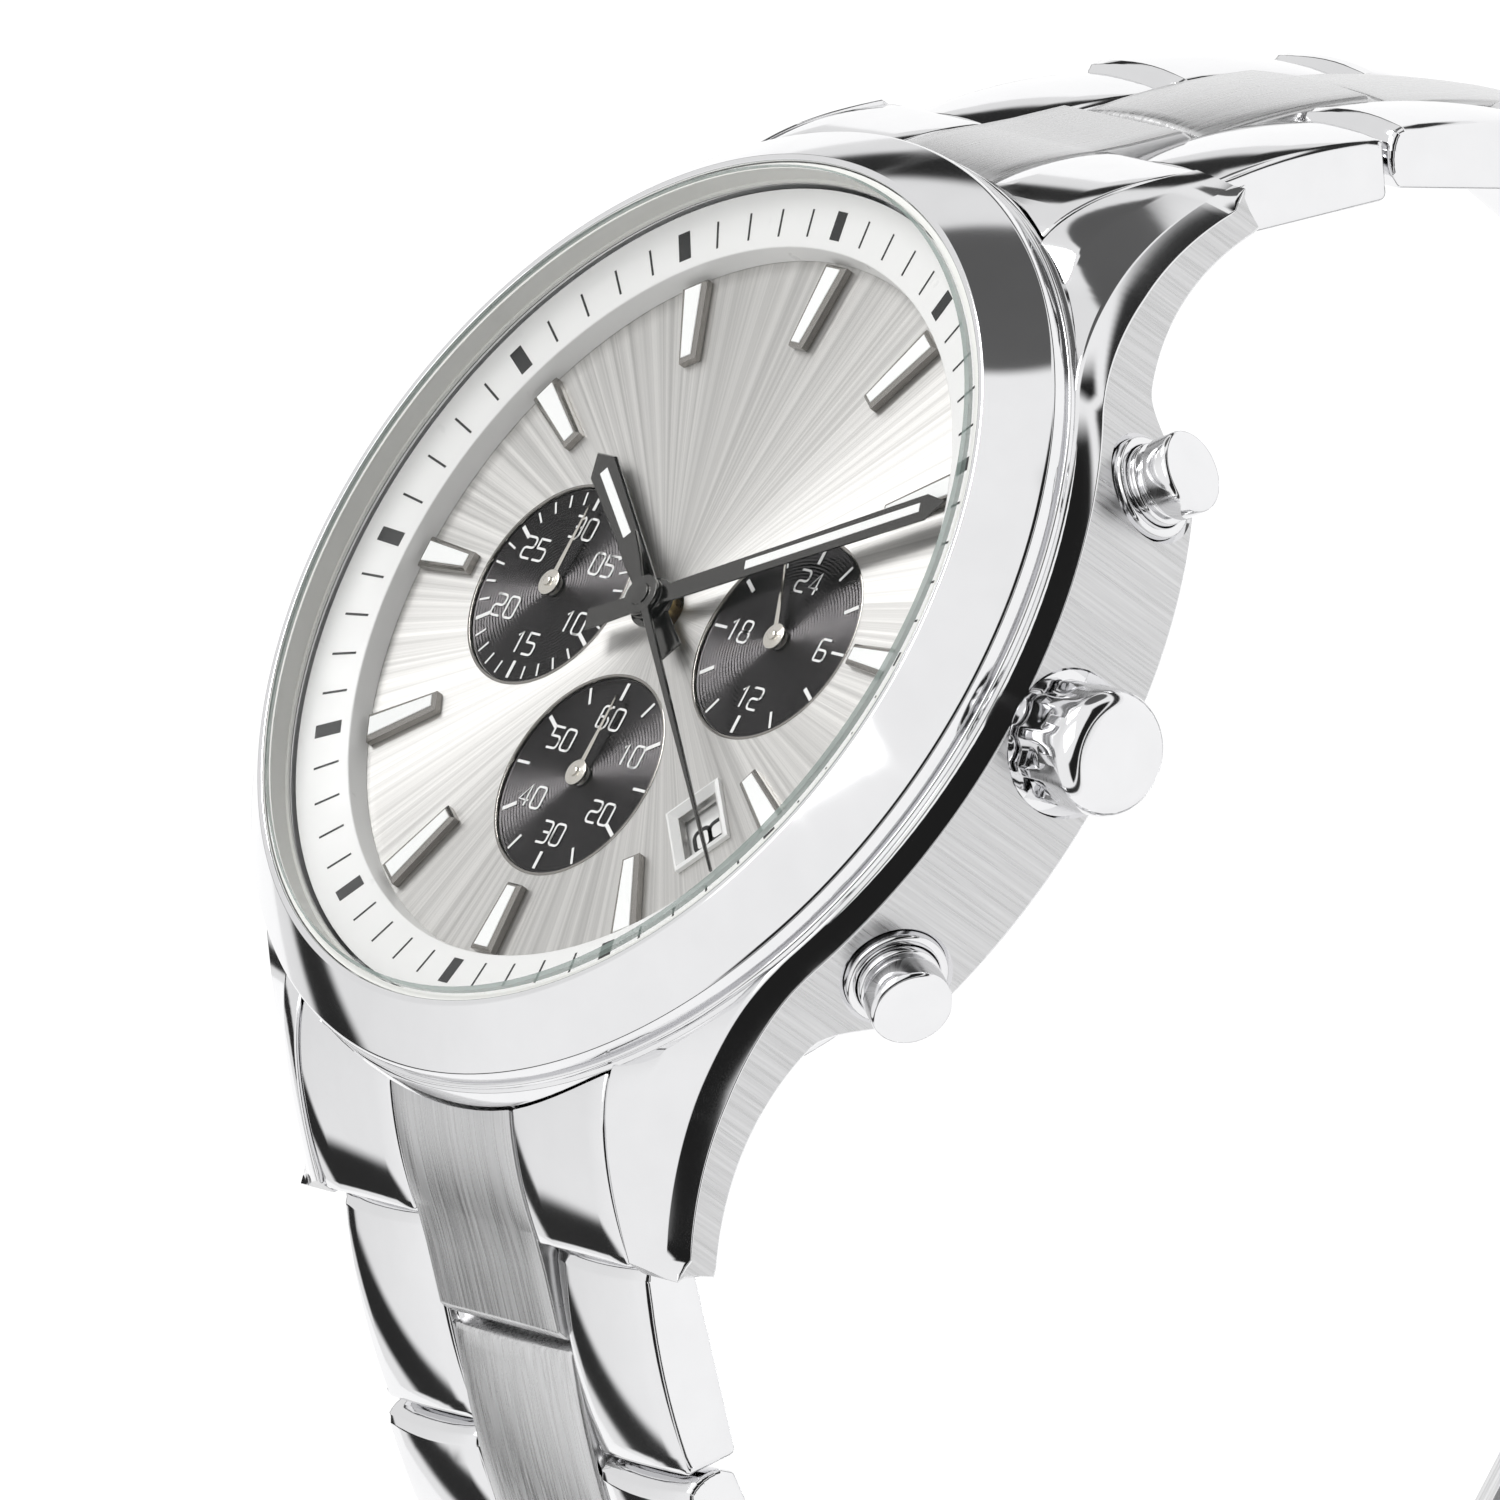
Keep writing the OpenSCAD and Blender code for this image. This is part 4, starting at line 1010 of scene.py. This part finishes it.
def end_outline():
    """The end link's outlines: the shoulder, and the centre with its tail."""
    s, c = math.sin(math.radians(SLOPES[0])), math.cos(math.radians(SLOPES[0]))
    n = Vector((s, c)) * LINK_T / 2
    back = Vector((c, -s))
    first = Vector(FIRST)
    face = first - back * FACE_T
    start = 18.3
    steps = 20
    end = face + n
    outer = []
    for k in range(steps + 1):
        y = start + (end.x - start) * k / steps
        blend = (k / steps) ** 6
        outer.append((y, shoulder_top(y) + (end.y - shoulder_top(end.x)) * blend))
    low = (start, LUG_TIP_Z - 0.3)
    shoulder = [low] + outer + [tuple(face - n)]
    tail = [tuple(first + back * (ROUND_R * math.cos(a)) + n.normalized() * (ROUND_R * math.sin(a)))
            for a in [math.asin(0.66) * (1 - k / 5) for k in range(11)]]
    centre = [low] + outer[:-1] + [tuple(first - back * 1.2 + n), tuple(first + back * 1.4 + n)] + tail[1:-1]
    centre += [tuple(first + back * 1.4 - n), tuple(first - back * FACE_T - n)]
    return rounded(shoulder, 0.3, 3), rounded(centre, 0.3, 3)


def hug_case(point):
    """Moves an end link's inner face out to the case's round flank, at the height of the lugs there."""
    x, y, z = point
    near = math.sqrt(INNER_R ** 2 - x * x)
    if abs(y) >= near:
        return point
    if z > LUG_TIP_Z + 0.5:
        z += shoulder_top(near) - shoulder_top(y)
    return x, math.copysign(near, y), z


def build_end_link(side):
    k = -1 if side == "6" else 1
    shoulder, centre = end_outline()
    shape = Shape()
    for s in (-1, 1):
        x0, x1 = sorted((s * (CENTRE_W + 0.06), s * (LUG_GAP - 0.12)))
        shape.add(*slab([(y * k, z) for y, z in shoulder], x0, x1, 0.2, 0.1, 3, 6), 0)
    shape.add(*slab([(y * k, z) for y, z in centre], -CENTRE_W, CENTRE_W, 0.12, 0.05, 3, 8), 1)
    shape.verts = [hug_case(v) for v in shape.verts]
    name = f"end_link_{side}"
    shape.make(name + "_steel", [POLISHED, GRAIN_END], "case", (name,), "steel_brushed")


# ---------------------------------------------------------------- CAD nodes that keep their shape
def dress(node, material, bevel=0.0):
    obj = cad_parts[node]
    if not obj.material_slots:
        obj.data.materials.append(material)
    for slot in obj.material_slots:
        slot.link = "OBJECT"
        slot.material = material
    if bevel:
        mod = obj.modifiers.new("soft_edges", "BEVEL")
        mod.width = bevel * MM
        mod.segments = 3
        mod.limit_method = "ANGLE"
        mod.angle_limit = math.radians(35)
        mod.harden_normals = False


def dress_nodes():
    looks = {
        "crystal_gasket": IVORY, "movement_ring": IVORY, "main_plate": BRASS, "train_bridge": GRAIN_X,
        "battery": GRAIN_X, "circuit_board": BOARD, "drive_coils": COPPER, "movement_screws": GRAIN_X,
        "case_back_gasket": SEAL, "crown_tube": POLISHED, "lug_spring_bars": GRAIN_X, "hour_wheel": BRASS,
        "cannon_pinion": BRASS, "minute_wheel": BRASS, "stem": GRAIN_X, "crown_seal": SEAL,
        "clasp_pins_a": GRAIN_X, "clasp_pins_b": GRAIN_X
    }
    for node, material in looks.items():
        dress(node, material)
    dress("clasp_cover", GRAIN_T, 0.25)
    dress("clasp_blade_a", GRAIN_T, 0.12)
    dress("clasp_blade_b", GRAIN_T, 0.12)


# ---------------------------------------------------------------- studio
def build_floor():
    mesh = bpy.data.meshes.new("floor")
    r, z = 0.32, (FLOOR_Z - 0.05) * MM
    n = 96
    mesh.from_pydata([(r * math.cos(TAU * k / n), r * math.sin(TAU * k / n), z) for k in range(n)], [],
                     [tuple(range(n))])
    m, nodes, links, bsdf = new_material("floor_white")
    coord = nodes.new("ShaderNodeTexCoord").outputs["Object"]
    links.new(tint(nodes, links, noise(nodes, links, coord, 30), (0.07, 0.07, 0.07), (0.09, 0.09, 0.09)),
              bsdf.inputs["Base Color"])
    bsdf.inputs["Roughness"].default_value = 0.9
    bsdf.inputs["Emission Color"].default_value = (1, 1, 1, 1)
    bsdf.inputs["Emission Strength"].default_value = 0.96
    mesh.materials.append(m)
    floor = bpy.data.objects.new("studio_floor", mesh)
    bpy.context.collection.objects.link(floor)


def smooth(nodes, links, value, start, end):
    """0 below start, 1 above end; start may be the higher one."""
    r = nodes.new("ShaderNodeMapRange")
    r.interpolation_type = "SMOOTHSTEP"
    flip = start > end
    r.inputs["From Min"].default_value = end if flip else start
    r.inputs["From Max"].default_value = start if flip else end
    r.inputs["To Min"].default_value = 1 if flip else 0
    r.inputs["To Max"].default_value = 0 if flip else 1
    links.new(value, r.inputs["Value"])
    return r.outputs["Result"]


def times(nodes, links, *values):
    out = values[0]
    for v in values[1:]:
        m = nodes.new("ShaderNodeMath")
        m.operation = "MULTIPLY"
        links.new(out, m.inputs[0])
        if isinstance(v, float):
            m.inputs[1].default_value = v
        else:
            links.new(v, m.inputs[1])
        out = m.outputs[0]
    return out


def direction(azimuth, elevation):
    a, e = math.radians(azimuth), math.radians(elevation)
    return (math.cos(a) * math.cos(e), math.sin(a) * math.cos(e), math.sin(e))


def build_world():
    """A white tent. Reflections also meet a dark camera side, a dark card and a dark horizon."""
    world = bpy.data.worlds.new("studio")
    bpy.context.scene.world = world
    world.use_nodes = True
    nodes, links = world.node_tree.nodes, world.node_tree.links
    nodes.clear()
    out = nodes.new("ShaderNodeOutputWorld")
    coord = nodes.new("ShaderNodeTexCoord").outputs["Generated"]
    split = nodes.new("ShaderNodeSeparateXYZ")
    links.new(coord, split.inputs[0])
    height = split.outputs["Z"]

    def facing(azimuth, elevation):
        dot = nodes.new("ShaderNodeVectorMath")
        dot.operation = "DOT_PRODUCT"
        dot.inputs[1].default_value = direction(azimuth, elevation)
        links.new(coord, dot.inputs[0])
        return dot.outputs["Value"]

    camera_side = times(nodes, links, smooth(nodes, links, height, 0.1, 0.16),
                        smooth(nodes, links, height, 0.64, 0.58),
                        smooth(nodes, links, facing(0, 0), 0.3, 0.42), 0.985)
    card = times(nodes, links, smooth(nodes, links, facing(104, 24), 0.95, 0.962), 0.88)
    horizon = times(nodes, links, smooth(nodes, links, height, -0.13, -0.09),
                    smooth(nodes, links, height, 0.07, 0.02), 0.97)
    left = times(nodes, links, smooth(nodes, links, facing(165, 10), 0.3, 0.9), 0.15)
    light = None
    for shade in (camera_side, card, horizon, left):
        inverse = nodes.new("ShaderNodeMath")
        inverse.operation = "SUBTRACT"
        inverse.inputs[0].default_value = 1
        links.new(shade, inverse.inputs[1])
        light = inverse.outputs[0] if light is None else times(nodes, links, light, inverse.outputs[0])
    soft, flat = nodes.new("ShaderNodeBackground"), nodes.new("ShaderNodeBackground")
    links.new(light, soft.inputs["Color"])
    flat.inputs["Color"].default_value = (1, 1, 1, 1)
    flat.inputs["Strength"].default_value = 1.05
    path, mix = nodes.new("ShaderNodeLightPath"), nodes.new("ShaderNodeMixShader")
    links.new(path.outputs["Is Camera Ray"], mix.inputs["Fac"])
    links.new(soft.outputs[0], mix.inputs[1])
    links.new(flat.outputs[0], mix.inputs[2])
    links.new(mix.outputs[0], out.inputs["Surface"])


def area_light(name, place, target, size, power):
    data = bpy.data.lights.new(name, "AREA")
    data.shape = "RECTANGLE"
    data.size, data.size_y = size
    data.energy = power
    obj = bpy.data.objects.new(name, data)
    bpy.context.collection.objects.link(obj)
    obj.location = place
    obj.rotation_euler = (Vector(target) - Vector(place)).to_track_quat("-Z", "Y").to_euler()


def build_lights():
    area_light("key", (-0.3, 0.3, 0.6), (0, 0, 0), (0.3, 0.25), 2.2)
    area_light("top", (0.1, -0.1, 0.75), (0, 0, 0), (0.5, 0.5), 1.2)


def build_camera():
    """Long lens, seen from the crown side, rolled so that 12 o'clock points up and to the right."""
    azimuth, elevation, roll = math.radians(-13.2), math.radians(36.3), math.radians(-54.6)
    distance, width = 1.6, 0.05808
    back = Vector((math.cos(elevation) * math.cos(azimuth), math.cos(elevation) * math.sin(azimuth),
                   math.sin(elevation)))
    right = Vector((0, 0, 1)).cross(back).normalized()
    up = back.cross(right)
    r = right * math.cos(roll) + up * math.sin(roll)
    u = up * math.cos(roll) - right * math.sin(roll)
    target = Vector((0, 0, 0.0083)) + r * 0.0036 - u * 0.005575
    camera = bpy.data.cameras.new("camera")
    camera.sensor_width = 36
    camera.lens = 36 * distance / width
    camera.clip_end = 10
    obj = bpy.data.objects.new("camera", camera)
    bpy.context.collection.objects.link(obj)
    eye = target + back * distance
    obj.matrix_world = Matrix((
        (r.x, u.x, back.x, eye.x), (r.y, u.y, back.y, eye.y), (r.z, u.z, back.z, eye.z), (0, 0, 0, 1)
    ))
    bpy.context.scene.camera = obj


# ---------------------------------------------------------------- build
build_case()
build_bezel()
build_crystal()
build_back()
build_track()
build_dial()
build_small_dials()
build_markers()
build_date()
build_hands()
build_crown()
build_pushers()
for number_ in range(LINKS):
    for side_ in ("12", "6"):
        build_link(number_, side_)
build_end_link("12")
build_end_link("6")
dress_nodes()
build_floor()
build_world()
build_lights()
build_camera()
bpy.context.scene.view_settings.view_transform = "Standard"
